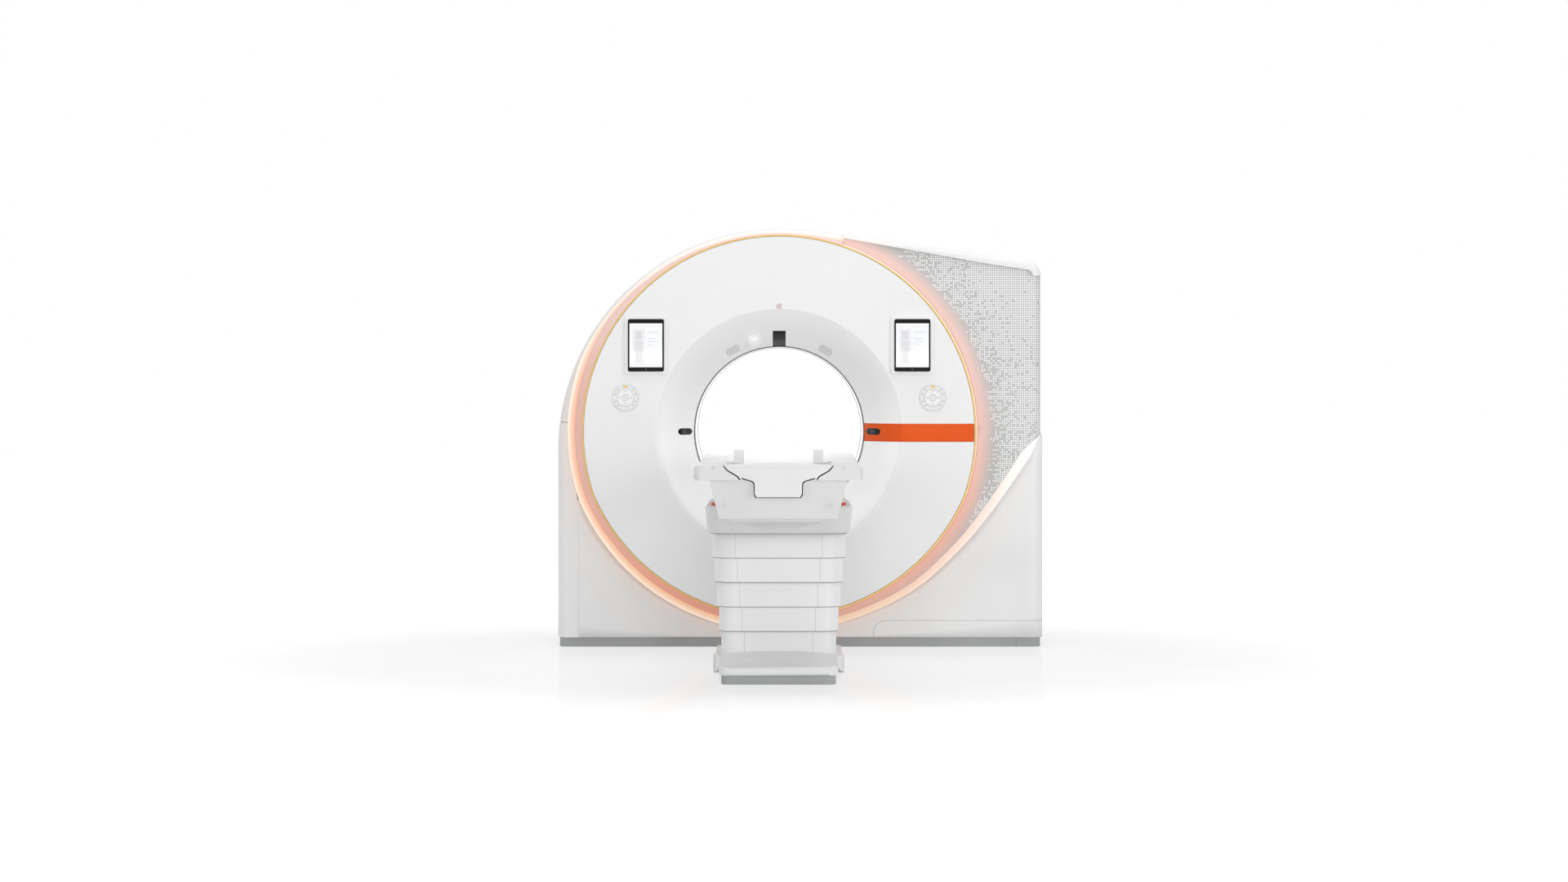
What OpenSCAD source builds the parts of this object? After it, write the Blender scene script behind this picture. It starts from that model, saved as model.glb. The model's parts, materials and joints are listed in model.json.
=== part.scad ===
// CT scanner: a wide scanning gantry with a horizontal bore, and a patient table whose long top
// rides on a telescoping pedestal. The origin is on the floor under the middle of the bore.
// X runs to the right as seen from the table's foot, Y runs into the bore and Z is up.

/* [Gantry] */
// Height of the bore's axis above the floor
iso_z = 1043; // [1035:1:1050]
// Diameter of the bore
bore_d = 820; // [800:1:830]
// How far the round front disc's edge lies inside the housing's large arc
disc_inset = 137; // [133:1:141]
// Distance from the axis down to the disc's lowest point, which is flatter than a circle
disc_low = 895; // [885:1:900]
// Radius of the disc's flatter lower arc
low_r = 978; // [972:1:985]
// Y of the disc's front face
disc_y = -430; // [-440:1:-425]
// Thickness of the disc's face
disc_t = 14; // [12:1:16]
// Radius of the crease where the funnel starts
crease_r = 592; // [585:1:598]
// Depth of the funnel from the disc's face to the bore's rim
funnel_depth = 210; // [200:1:220]
// Wall of the funnel, measured along the bore
funnel_t = 16; // [15:1:18]
// Y of the front of the housing
front_y = -310; // [-314:1:-306]
// Y of the back of the housing
rear_y = 420; // [410:1:430]
// X of the right side of the upper housing
house_right = 1270; // [1262:1:1280]
// Radius of the large arc over the upper left
house_r = 1085; // [1080:1:1088]
// X of that arc's centre
arc_x = 10; // [6:1:14]
// Height of that arc's centre
arc_z = 949; // [945:1:953]
// Angle of the roof's slope down to the right, in degrees
roof_slope = 8.4; // [8:0.1:8.8]
// Radius of the roof's right corner
roof_corner_r = 70; // [66:1:74]
// Wall of the moulded covers
cover_t = 12; // [10:1:13]
// Radius of the rounded front edge of the left and upper covers
edge_r = 65; // [60:1:68]
// Height of the seam on the left side
left_seam_z = 1090; // [1080:1:1100]
// How far the lower right cover stands out past the upper one
lower_proud = 9; // [7:1:11]
// Height of the plinth under the covers
plinth_z = 45; // [42:1:48]
// Width of the seams between neighbouring covers
seam = 0.8; // [0.6:0.1:0.9]

/* [Light ring] */
// Width of the recessed band around the disc
band_w = 44; // [41:1:47]
// Width of the lit bevel outside the band
bevel_w = 30; // [28:1:33]
// Width that is left of the band beside the grey panel
band_side = 14; // [12:1:16]
// Depth of the band behind the front of the housing
band_depth = 35; // [32:1:38]
// Wall of the light ring
ring_t = 6; // [5:0.5:6.5]
// Width of the thin trim ring on the disc's edge
trim_w = 6.5; // [5:0.5:7]

/* [Front panel details] */
// Lower and upper edge of the accent stripe, from the bore's axis
stripe_h = 87; // [80:1:90]
// Distance of the laser windows from the axis
laser_x = 456; // [450:1:462]
// Width of a laser window
laser_w = 67; // [60:1:70]
// Height of a laser window
laser_h = 32; // [28:1:34]
// Width of the camera window over the bore
camera_w = 63; // [58:1:68]
// Height of a tablet
tablet_h = 252; // [240:1:262]
// Width of a tablet
tablet_w = 173; // [165:1:180]
// Distance of the tablets from the middle
tablet_x = 641; // [635:1:650]
// Height of the tablets' centres above the floor
tablet_z = 1460; // [1450:1:1465]
// Width of the border of a tablet holder around its tablet
holder_border = 14; // [11:1:16]
// Diameter of a control pad
pad_d = 134; // [128:1:138]
// Distance of the control pads from the middle
pad_x = 740; // [735:1:745]
// Height of the control pads' centres above the floor
pad_z = 1208; // [1200:1:1215]
// Travel of a key
key_travel = 1.5; // [1:0.1:1.8]

/* [Rotating part] */
// Space between the rotor's rim and the housing's large arc
rotor_gap = 215; // [210:1:222]
// Space between the bore and the rotor
rotor_in_gap = 30; // [26:1:35]
// Width of the rotor's bearing outside its hub
bearing_w = 50; // [46:1:54]
// Thickness of the rotor's plate
rotor_t = 30; // [28:1:34]
// Angle between the two measuring systems, in degrees
tube_angle = 95; // [92:1:98]

/* [Table] */
// Y of the table's foot end
foot_y = -3115; // [-3140:1:-3100]
// Y of the table's head end
head_y = -550; // [-560:1:-545]
// Height of the table's rim above the floor
rim_z = 946; // [940:1:950]
// Height of the rim's edge
rim_h = 59; // [55:1:62]
// Half the width of the rim
rim_hw = 350; // [344:1:354]
// Height of the trough under the rim
box_h = 160; // [156:1:164]
// Half the width of the trough at its top
box_top_hw = 286; // [280:1:290]
// Half the width of the trough at its bottom
box_bot_hw = 245; // [240:1:248]
// Gap around the sliding tabletop
top_gap = 4; // [3:0.5:5]
// Wall of the trough
box_t = 8; // [7:1:9]
// Depth of the belly under the trough
belly_d = 52; // [48:1:56]

/* [Pedestal] */
// Half the width of the lowest pedestal section
seg_hw = 256; // [252:1:260]
// Y of the front of the lowest section
seg_front = -1855; // [-1865:1:-1850]
// Y of the back of the lowest section
seg_rear = -940; // [-945:1:-935]
// How much each section is wider than the one below it, on each side
seg_step = 10; // [9:0.5:11]
// Wall of a section
seg_t = 4; // [3.5:0.5:5]
// Height that each section shows
seg_show = 109; // [107:0.5:110]
// Height that a section reaches up into the next
seg_overlap = 15; // [13:1:18]
// Running clearance between a section's lip and the next section
seg_clear = 0.5; // [0.4:0.1:0.8]
// Corner radius of the lowest section
seg_r = 62; // [58:1:66]
// Height of the collar over the sections
collar_h = 125; // [124:1:128]
// Height of the base plate under the pedestal
base_t = 38; // [35:1:42]
// Half the width of the lifting column's outer tube
column_hw = 150; // [145:1:155]
// Wall of the lifting column's tubes
column_t = 12; // [10:1:13]
// Sliding clearance between the column's tubes
column_gap = 0.6; // [0.5:0.1:0.8]

/* [Foot plate] */
// Y of the front of the foot plate
plate_y = -2579; // [-2590:1:-2570]
// Half the width of the foot plate
plate_hw = 255; // [250:1:260]
// Height of the foot plate's grey plinth
plate_plinth = 39; // [36:1:41]
// Thickness of the foot plate
plate_t = 40; // [37:1:42]
// Half the width of the base cover beside the pedestal
wing_hw = 290; // [286:1:294]
// Height of the base cover beside the pedestal
wing_h = 42; // [40:1:45]

/* [Hidden] */
$fn = 96;
bore_r = bore_d / 2;
disc_r = house_r - disc_inset;
low_dz = low_r - disc_low;
rim_y = disc_y + funnel_depth;
fit = 0.3;
roof_a = 90 - roof_slope;
right_c_x = house_right - roof_corner_r;
right_c_z = arc_z + (house_r - roof_corner_r - (right_c_x - arc_x) * cos(roof_a)) / sin(roof_a);
roof_len = (right_c_x - arc_x) * sin(roof_a) - (right_c_z - arc_z) * cos(roof_a);
roof_seam = 143;
seam_a = asin((left_seam_z - arc_z) / house_r);
skin_rear = rear_y - 16;
lip = 102;
roof_lip = 41;
open_o = band_w + bevel_w + 4.7;
panel_y = front_y + 23;
panel_t = 10;
low_front_x0 = arc_x - house_r + lip;
tuck_x = 1145;
low_t = panel_y - 0.5 - front_y;
side_y = -229;
low_right = house_right + lower_proud;
liner_t = 10;
window_y1 = -118;
rotor_r = house_r - rotor_gap;
rotor_in = bore_r + rotor_in_gap;
hub_r = bore_r + 120;
bearing_out = hub_r + bearing_w;
slip_r = hub_r - 10;
rim_mid = (rotor_r + hub_r) / 2;
liner_y1 = rear_y - 90;
ring_y1 = liner_y1 + 15;
white = [0.93, 0.93, 0.92];
grey = [0.73, 0.74, 0.75];
steel = [0.55, 0.57, 0.6];
peach = [0.98, 0.78, 0.66];
gold = [0.9, 0.72, 0.2];
orange = [0.89, 0.35, 0.12];
dark = [0.12, 0.12, 0.13];

// Height of the ring's lower outline at offset o
function ring_z(x, o) = iso_z + low_dz - sqrt(pow(low_r + o, 2) - x * x);
// The rising edge of the lower front cover: it leaves the light ring's band under the table and ends
// at the right side
s_x0 = 236;
s_points = [[s_x0, ring_z(s_x0, band_w)], [293, ring_z(293, band_w)], [403, ring_z(403, band_w + 3.5)],
  [544, ring_z(544, band_w + 11.7)], [685, 339], [840, 486], [933, 594], [1027, 720], [1120, 856],
  [1195, 963], [1279, 1034]];
s_top = s_points[len(s_points) - 1][1];

seg_top = rim_z - rim_h - box_h;             // underside of the trough
collar_z0 = seg_top + 13 - collar_h;         // bottom of the collar
seg_n = 5;
function seg_hw_of(k) = seg_hw + seg_step * (seg_n - k);
function seg_f(k) = seg_front - seg_step * (seg_n - k);
function seg_b(k) = seg_rear + seg_step * (seg_n - k);
function seg_bottom(k) = k == seg_n ? 1 : collar_z0 - seg_show * k;
function seg_height_top(k) = collar_z0 - seg_show * (k - 1) + seg_overlap;
collar_hw = seg_hw_of(1) + seg_step * 3;
collar_f = seg_f(1) - 75;
collar_b = seg_b(1) + 60;
box_foot = foot_y + 20;
box_head = head_y - 80;
column_y0 = -1700;
column_y1 = -1100;

function arc(cx, cz, r, a0, a1, n) =
  [for (i = [0:n]) let (a = a0 + (a1 - a0) * i / n) [cx + r * cos(a), cz + r * sin(a)]];
function bez(p0, p1, p2, n) =
  [for (i = [0:n]) let (t = i / n) (1 - t) * (1 - t) * p0 + 2 * t * (1 - t) * p1 + t * t * p2];
function rev(p) = [for (i = [len(p) - 1:-1:0]) p[i]];
function moved(p, dx, dy) = [for (q = p) [q[0] + dx, q[1] + dy]];
function rr(x0, x1, y0, y1, r, n = 7) = concat(
  arc(x1 - r, y1 - r, r, 0, 90, n), arc(x0 + r, y1 - r, r, 90, 180, n),
  arc(x0 + r, y0 + r, r, 180, 270, n), arc(x1 - r, y0 + r, r, 270, 360, n));
function capsule(cx, cz, w, h, n = 8) = concat(
  arc(cx + (w - h) / 2, cz, h / 2, -90, 90, n), arc(cx - (w - h) / 2, cz, h / 2, 90, 270, n));
// A smooth curve through the given points
function crp(a, b, c, d, t) = 0.5 * ((2 * b) + (c - a) * t + (2 * a - 5 * b + 4 * c - d) * t * t
  + (3 * b - a - 3 * c + d) * t * t * t);
function spl(p, n) = concat([for (i = [0:len(p) - 2]) for (j = [0:n - 1])
  crp(p[max(i - 1, 0)], p[i], p[i + 1], p[min(i + 2, len(p) - 1)], j / n)], [p[len(p) - 1]]);
s_curve = spl(s_points, 4);
function above(p, x) = [for (q = p) if (q[0] > x) q];
function below(p, x) = [for (q = p) if (q[0] < x) q];
function z_on(p, x) = lookup(x, p);

module yex(y0, y1) translate([0, y1, 0]) rotate([90, 0, 0]) linear_extrude(y1 - y0) children();
module xex(x0, x1) translate([x0, 0, 0]) rotate([90, 0, 90]) linear_extrude(x1 - x0) children();
module zex(z0, z1) translate([0, 0, z0]) linear_extrude(z1 - z0) children();
module ycyl(cx, cz, r, y0, y1)
  translate([cx, y0, cz]) rotate([-90, 0, 0]) cylinder(h = y1 - y0, r = r);
module ycone(cx, cz, r0, r1, y0, y1)
  translate([cx, y0, cz]) rotate([-90, 0, 0]) cylinder(h = y1 - y0, r1 = r0, r2 = r1);
module yrev(cx, cz) translate([cx, 0, cz]) rotate([-90, 0, 0]) rotate_extrude() children();
module yturn(cx, cz, a0, a1)
  translate([cx, 0, cz]) rotate([-90, 0, 0]) rotate([0, 0, -a1])
    rotate_extrude(angle = a1 - a0) children();

// A plate with the disc's outline, moved outward by o
module disc_plate(o, y0, y1) intersection() {
  ycyl(0, iso_z, disc_r + o, y0, y1);
  ycyl(0, iso_z + low_dz, low_r + o, y0, y1);
}
// The ring's outline at offset o0 and o1: the disc's two arcs, held inside the housing's own arc
function arc_cap(o) = house_r - 16 - (band_w + bevel_w - o) / 2;
module ring_body(o0, o1, y0, y1) intersection() {
  ycone(0, iso_z, disc_r + o0, disc_r + o1, y0, y1);
  ycone(0, iso_z + low_dz, low_r + o0, low_r + o1, y0, y1);
  union() {
    ycone(arc_x, arc_z, arc_cap(o0), arc_cap(o1), y0, y1);
    wall_run(roof_a, -1400, 0, [[-2300, y0], [arc_cap(o0) - house_r, y0],
      [arc_cap(o1) - house_r, y1], [-2300, y1]]);
  }
}
module ring_opening(y0, y1) ring_body(open_o, open_o, y0, y1);

// The funnel's profile as (radius, y), from the crease to the bore's rim
function funnel_curve(d) = moved(bez([crease_r, disc_y], [bore_r + 80, disc_y + 58],
  [bore_r, rim_y], 9), 0, d);
// A skin that follows the funnel between two depths behind its surface
module funnel_band(d0, d1) yrev(0, iso_z) polygon(concat(funnel_curve(d0), rev(funnel_curve(d1))));
// Everything behind the funnel's surface
module funnel_back(d) yrev(0, iso_z) polygon(concat(funnel_curve(d),
  [[bore_r, 0], [crease_r + 60, 0], [crease_r + 60, disc_y + d]]));

// The covers' wall as (outward, y): a front lip, a rounded front edge and a flat side
function skin(l) = concat([[-l, front_y]],
  arc(-edge_r, front_y + edge_r, edge_r, 270, 360, 8),
  [[0, skin_rear], [-cover_t, skin_rear]],
  arc(-edge_r, front_y + edge_r, edge_r - cover_t, 360, 270, 8),
  [[-l, front_y + cover_t]]);
// The roof's wall, with a smaller front edge
function roof_skin(l, r = 30) = concat([[-l, front_y]],
  arc(-r, front_y + r, r, 270, 360, 5), [[0, skin_rear], [-cover_t, skin_rear]],
  arc(-r, front_y + r, r - cover_t, 360, 270, 5), [[-l, front_y + cover_t]]);
module wall_run(phi, s0, s1, p)
  translate([arc_x, 0, arc_z]) rotate([0, -phi, 0]) translate([0, 0, s0])
    linear_extrude(s1 - s0) polygon(moved(p, house_r, 0));
module wall_turn(cx, cz, r, a0, a1, p) yturn(cx, cz, a0, a1) polygon(moved(p, r, 0));

plinth_x0 = arc_x - house_r + cover_t - 3;
module plinth() color(grey) difference() {
  zex(0, plinth_z) polygon(rr(plinth_x0, low_right - 11, front_y + 10, rear_y - 10, 50));
  for (x = [plinth_x0 + 116, -plinth_x0 - 116], y = [-200, 300])
    translate([x, y, -1]) cylinder(h = plinth_z + 2, r = 11);
  translate([tuck_x + 2, front_y + 9, -1]) cube([2, 4, plinth_z + 2]);
}

beam_top = plinth_z + 100;
module base_beams() color(steel) {
  for (s = [-1, 1]) translate([s * (rotor_r - 50) - 60, -250, plinth_z]) cube([120, 610, 100]);
  for (y = [-250, 260]) translate([109 - rotor_r, y, plinth_z]) cube([2 * rotor_r - 218, 100, 60]);
}

frame_y = 100;
frame_t = 40;
module gantry_frame() color(steel) difference() {
  yex(frame_y, frame_y + frame_t) {
    translate([0, iso_z]) circle(r = rotor_r + 45);
    polygon([[-rotor_r - 10, beam_top], [rotor_r + 10, beam_top], [rotor_r + 45, iso_z],
      [-rotor_r - 45, iso_z]]);
  }
  ycyl(0, iso_z, bearing_out + fit, frame_y - 1, frame_y + frame_t + 1);
  for (a = [30:30:330]) if (a != 270) translate([0, 0, iso_z]) rotate([0, -a, 0])
    translate([(rotor_r + 45 + bearing_out) / 2, 0, 0])
      ycyl(0, 0, (rotor_r + 45 - bearing_out) / 4, frame_y - 1, frame_y + frame_t + 1);
}

module main_bearing() color(steel) difference() {
  ycyl(0, iso_z, bearing_out, 82, frame_y + frame_t);
  ycyl(0, iso_z, hub_r + fit, 81, frame_y + frame_t + 1);
}

module brush_block() color(dark) translate([0, 0, iso_z]) rotate([0, -125, 0]) {
  translate([slip_r + 0.5, frame_y + frame_t + 10, -60]) cube([79, 56, 120]);
  translate([slip_r + 29, frame_y + frame_t, -40]) cube([110, 10, 80]);
}

cabinet_w = 240;
cabinet_h = 1430;
cabinet_x = house_right - 40 - cabinet_w;
module power_cabinet() color(grey) difference() {
  translate([cabinet_x, -190, plinth_z]) cube([cabinet_w, 560, cabinet_h]);
  translate([cabinet_x + 8, -182, plinth_z + 8]) cube([cabinet_w - 16, 544, cabinet_h - 16]);
  for (z = [plinth_z + 155:90:plinth_z + cabinet_h - 90])
    translate([cabinet_x - 5, -140, z]) cube([15, 460, 20]);
}

// The moulded front: a flat face with a flattened lower edge, a skirt and the funnel to the bore
module front_disc() color(white) difference() {
  union() {
    difference() {
      disc_plate(-trim_w - 0.5, disc_y, disc_y + disc_t);
      ycyl(0, iso_z, crease_r + 8, disc_y - 1, disc_y + disc_t + 1);
    }
    difference() {
      disc_plate(-trim_w - 1.5, disc_y + disc_t, front_y + band_depth + ring_t);
      disc_plate(-trim_w - 1.5 - cover_t, disc_y + disc_t - 1, front_y + band_depth + ring_t + 1);
    }
    yrev(0, iso_z) polygon(concat([[crease_r + 8, disc_y]], funnel_curve(0),
      rev(funnel_curve(funnel_t)), [[crease_r + 8, disc_y + disc_t]]));
  }
  for (s = [-1, 1]) intersection() {
    funnel_band(-2, 8 + fit);
    yex(disc_y - 5, 0) polygon(capsule(s * laser_x, iso_z, laser_w + 2 * fit, laser_h + 2 * fit));
  }
  intersection() {
    funnel_band(-2, 8 + fit);
    translate([-camera_w / 2 - fit, disc_y, iso_z]) cube([camera_w + 2 * fit, 400, 490 + fit]);
  }
  for (s = [-1, 1]) {
    ycyl(s * pad_x, pad_z, 23, disc_y - 1, disc_y + disc_t + 1);
    intersection() {
      funnel_band(-2, 8 + fit);
      grille_outline(s, fit);
    }
  }
}

module trim_ring() color(gold) difference() {
  disc_plate(0, disc_y - 1.5, disc_y + disc_t - 1);
  disc_plate(-trim_w, disc_y - 3, disc_y + disc_t);
}

// The volume inside the covers' rounded front edges
module shell_body() {
  yrev(arc_x, arc_z) polygon(concat([[0, 0], [0, front_y]],
    arc(house_r - edge_r, front_y + edge_r, edge_r, 270, 360, 8), [[house_r, 0]]));
  for (e = [[-roof_seam, 0, edge_r], [-1400, -roof_seam, 30]]) wall_run(roof_a, e[0], e[1], concat(
    [[-2300, 0], [-2300, front_y]], arc(-e[2], front_y + e[2], e[2], 270, 360, 8), [[0, 0]]));
}
seam_x = arc_x + house_r * cos(roof_a) + roof_seam * sin(roof_a);
// Right of the roof's seam and of the rising cover's start the ring's bevel ends
module panel_side(g) polygon([[s_x0 - g, 0], [1500, 0], [1500, 2300], [seam_x + 2, 2300],
  [seam_x + 2, iso_z], [s_x0 - g, iso_z]]);
// The diffuser around the disc: a recessed floor and an outer bevel in one piece. Beside the grey panel
// only a narrow floor goes on.
module light_ring() color(peach) difference() {
  intersection() {
    ring_body(band_w + bevel_w + 4, band_w + ring_t, front_y - 1, front_y + band_depth + ring_t);
    shell_body();
  }
  ring_body(band_w + bevel_w, band_w, front_y - 1, front_y + band_depth);
  disc_plate(-trim_w - 1.5 + fit, front_y - 5, front_y + 80);
  difference() {
    yex(front_y - 10, front_y + 80) panel_side(seam);
    disc_plate(band_side, front_y - 11, front_y + 81);
  }
}

// How far inside the covers' outline their inner wall lies at the panel's front, for a front edge r
function skin_in(r) = r - sqrt(pow(r - cover_t, 2) - pow(r - panel_y + front_y, 2)) + 1;
function roof_line(x, n) = arc_z + (house_r - n - (x - arc_x) * cos(roof_a)) / sin(roof_a);
// The grey panel right of the ring. It tucks under the lower cover and turns around the corner.
module front_panel() color(grey) difference() {
  intersection() {
    zex(100, 2100) polygon(concat([[s_x0 + seam, panel_y]],
      arc(house_right - 50, panel_y + 50, 50, 270, 360, 8), [[house_right, side_y]],
      [[house_right - panel_t, side_y]],
      arc(house_right - 50, panel_y + 50, 50 - panel_t, 360, 270, 8), [[s_x0 + seam, panel_y + panel_t]]));
    yex(panel_y - 10, 0) polygon(concat(
      moved(below(s_curve, tuck_x - 5), 0, -15),
      [[tuck_x - 5, z_on(s_curve, tuck_x - 5) - 15], [tuck_x - 5, z_on(s_curve, tuck_x - 5) + seam]],
      moved(above(s_curve, tuck_x), 0, seam),
      [[1400, s_top + seam], [1400, right_c_z - seam]],
      arc(right_c_x, right_c_z, roof_corner_r - skin_in(30), 0, roof_a, 6),
      [[seam_x + 3, roof_line(seam_x + 3, skin_in(30))], [seam_x + 3, iso_z], [s_x0, iso_z]]));
  }
  disc_plate(band_side + 0.7, panel_y - 20, panel_y + 20);
}

// The lower cover's outline seen from above, moved inward by i: the front, the right corner, the side
function low_plan(i) = concat([[low_front_x0 + seam, front_y + i]],
  arc(low_right - edge_r, front_y + edge_r, edge_r - i, 270, 360, 8), [[low_right - i, side_y]]);
// Everything under the rising edge
s_region = concat([[low_front_x0 - 200, 0], [1500, 0], [1500, s_top]], rev(s_curve),
  [[0, 300], [low_front_x0 - 200, iso_z]]);
bevel_x = 357;
bevel_z = 493;
bevel_grow = 1.099;
// The lower front cover rises to the right in a long curve and turns around the corner in one piece.
// Its bevel goes on from the light ring's: the outline swells about one point towards the front, so the
// bevel is widest in the steep part and narrows to the corner. An arched flap seam is cut into it.
module lower_front_cover() color(white) difference() {
  intersection() {
    zex(plinth_z + fit, s_top) polygon(concat(low_plan(0), rev(low_plan(low_t))));
    union() {
      yex(panel_y - 0.5, 0) polygon(s_region);
      translate([bevel_x, panel_y - 0.5, bevel_z]) rotate([90, 0, 0])
        linear_extrude(low_t, scale = bevel_grow) polygon(moved(s_region, -bevel_x, -bevel_z));
    }
  }
  intersection() {
    ring_opening(front_y - 5, panel_y + 5);
    translate([s_x0 - 2000, front_y - 10, 0]) cube([2000, 60, iso_z]);
  }
  yex(front_y - 1, front_y + 3) polygon(concat([[460, 40]], arc(538, 50, 78, 180, 90, 8),
    arc(538, 50, 75, 90, 180, 8), [[463, 40]]));
  intersection() {
    zex(125, 128) polygon(concat(low_plan(-1), rev(low_plan(3))));
    translate([538, -500, 100]) cube([1000, 500, 60]);
  }
}

module left_cover() color(white) difference() {
  union() {
    wall_run(180, 0, arc_z - plinth_z - fit, skin(lip));
    wall_turn(arc_x, arc_z, house_r, 180 - seam_a, 180, skin(lip));
  }
  ring_opening(front_y - 5, front_y + 60);
}

seam_gap_a = seam / house_r * 57.3;
module upper_shell() color(white) difference() {
  // The straight start of the roof and the large arc, swept as one wall
  translate([arc_x, 0, arc_z]) rotate([0, -roof_a, 0]) {
    translate([0, 0, -roof_seam]) linear_extrude(roof_seam) polygon(moved(skin(lip), house_r, 0));
    rotate([90, 0, 0]) rotate_extrude(angle = 180 - seam_a - seam_gap_a - roof_a)
      polygon([for (q = skin(lip)) [house_r + q[0], -q[1]]]);
  }
  ring_opening(front_y - 5, front_y + 60);
}

module roof_cover() color(white) difference() {
  translate([right_c_x, 0, right_c_z]) rotate([0, -roof_a, 0]) {
    linear_extrude(roof_len - roof_seam - seam) polygon(moved(roof_skin(roof_lip), roof_corner_r, 0));
    rotate([-90, 0, 0]) rotate_extrude(angle = roof_a)
      polygon(moved(roof_skin(roof_lip), roof_corner_r, 0));
  }
  intersection() {
    ring_opening(front_y - 5, front_y + 60);
    translate([seam_x - 60, front_y - 10, iso_z]) cube([63, 80, 1200]);
  }
  // The lip is narrow beside the ring and widens to the right
  yex(front_y - 5, front_y + 60) polygon([[seam_x + 2, roof_line(seam_x + 2, 20)],
    [1010, roof_line(1010, roof_lip + 1)], [1010, 1000], [seam_x + 2, 1000]]);
}

module right_upper_cover() color(grey) difference() {
  translate([house_right - panel_t, side_y + seam, s_top + seam])
    cube([panel_t, skin_rear - side_y - seam, right_c_z - s_top - 2 * seam]);
  for (y = [-60, 330]) translate([house_right - 2, y, s_top - 1])
    cube([4, 2.5, right_c_z - s_top + 2]);
}

module right_lower_cover() color(white) difference() {
  translate([low_right - cover_t, side_y + seam, plinth_z + fit])
    cube([cover_t, skin_rear - side_y - seam, s_top - plinth_z - fit]);
  translate([low_right - 3, side_y + 30, 520]) cube([5, 30, 2.5]);
  translate([low_right - 6, side_y + 20, plinth_z + 40]) cube([10, 60, 75]);
}

function house_outline(i) = concat([[arc_x - house_r + i, plinth_z + fit]],
  arc(arc_x, arc_z, house_r - i, 180, roof_a, 36),
  arc(right_c_x, right_c_z, roof_corner_r - i, roof_a, 0, 6), [[house_right - i, plinth_z + fit]]);
rear_funnel = bez([bore_r, ring_y1 + fit], [bore_r + 10, rear_y - 14], [bore_r + 115, rear_y], 8);
module rear_cover() color(white) difference() {
  union() {
    difference() {
      yex(rear_y - 15, rear_y) polygon(house_outline(1));
      ycyl(0, iso_z, bore_r + 130, rear_y - 20, rear_y + 5);
    }
    yrev(0, iso_z) polygon(concat([[bore_r + 130, rear_y]], rev(rear_funnel),
      [[bore_r + 12, ring_y1 + fit]],
      moved(bez([bore_r, ring_y1 + 10], [bore_r + 10, rear_y - 14], [bore_r + 100, rear_y], 8), 16,
        -15), [[bore_r + 130, rear_y - 15]]));
  }
  for (s = [-1, 1], i = [0:11]) translate([s * 640 - 150, rear_y - 20, 150 + i * 26])
    cube([300, 30, 11]);
}

module scan_window() color(dark) difference() {
  ycyl(0, iso_z, bore_r + 8, rim_y + funnel_t + fit, window_y1 - fit);
  ycyl(0, iso_z, bore_r, rim_y, window_y1 + 1);
}
module bore_liner() color(white) difference() {
  ycyl(0, iso_z, bore_r + liner_t, window_y1, liner_y1);
  ycyl(0, iso_z, bore_r, window_y1 - 1, liner_y1 + 1);
}
module rear_ring() color(grey) difference() {
  ycyl(0, iso_z, bore_r + liner_t, liner_y1 + fit, ring_y1);
  ycyl(0, iso_z, bore_r - 2, liner_y1, ring_y1 + 1);
}

// The stripe is a thin film on the face and the funnel, cut out around the laser window
module accent_stripe() color(orange) difference() {
  intersection() {
    yrev(0, iso_z) polygon(concat([[disc_r - trim_w - 1, disc_y - 0.2]], funnel_curve(-0.2),
      rev(funnel_curve(-1.4)), [[disc_r - trim_w - 1, disc_y - 1.4]]));
    translate([200, disc_y - 5, iso_z - stripe_h / 2 - 4]) cube([1000, 500, stripe_h]);
  }
  yex(disc_y - 10, 0) polygon(capsule(laser_x, iso_z, laser_w + 4, laser_h + 4));
  difference() {
    ycyl(0, iso_z, disc_r + 50, disc_y - 5, disc_y);
    disc_plate(-trim_w - 1, disc_y - 6, disc_y + 1);
  }
}

module laser_windows() color(dark) for (s = [-1, 1]) intersection() {
  funnel_band(2, 8);
  yex(disc_y - 5, 0) polygon(capsule(s * laser_x, iso_z, laser_w, laser_h));
}
module camera_window() color(dark) intersection() {
  funnel_band(2, 8);
  translate([-camera_w / 2, disc_y, iso_z]) cube([camera_w, 400, 490]);
}

dome_r = 466;
dome_a = 15.7;
module camera_dome() color(white) difference() {
  translate([-dome_r * sin(dome_a), -303, iso_z + dome_r * cos(dome_a)]) sphere(r = 38);
  funnel_back(-fit);
}

grille_r = 453;
grille_a = 29.7;
module grille_outline(s, o) translate([s * grille_r * sin(grille_a), 0,
  iso_z + grille_r * cos(grille_a)]) rotate([0, s * grille_a, 0]) yex(disc_y, 0)
    polygon([for (a = [0:15:345]) [(39 + o) * cos(a), (24 + o) * sin(a)]]);
module speaker_grilles() color(white) for (s = [-1, 1]) difference() {
  intersection() {
    funnel_band(0.5, 8);
    grille_outline(s, 0);
  }
  translate([s * grille_r * sin(grille_a), 0, iso_z + grille_r * cos(grille_a)])
    rotate([0, s * grille_a, 0]) {
      for (i = [-2:2]) translate([i * 12, 0, 0]) ycyl(0, 0, 2, disc_y, 0);
      for (i = [-1.5:1:1.5], k = [-1, 1]) translate([i * 12, 0, k * 9]) ycyl(0, 0, 2, disc_y, 0);
    }
}

status_z = 1648.5;
module status_ring() color([0.8, 0.15, 0.15]) difference() {
  ycyl(0, status_z, 12, disc_y - 1.7, disc_y - 0.2);
  ycyl(0, status_z, 8, disc_y - 3, disc_y + 1);
}

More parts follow.
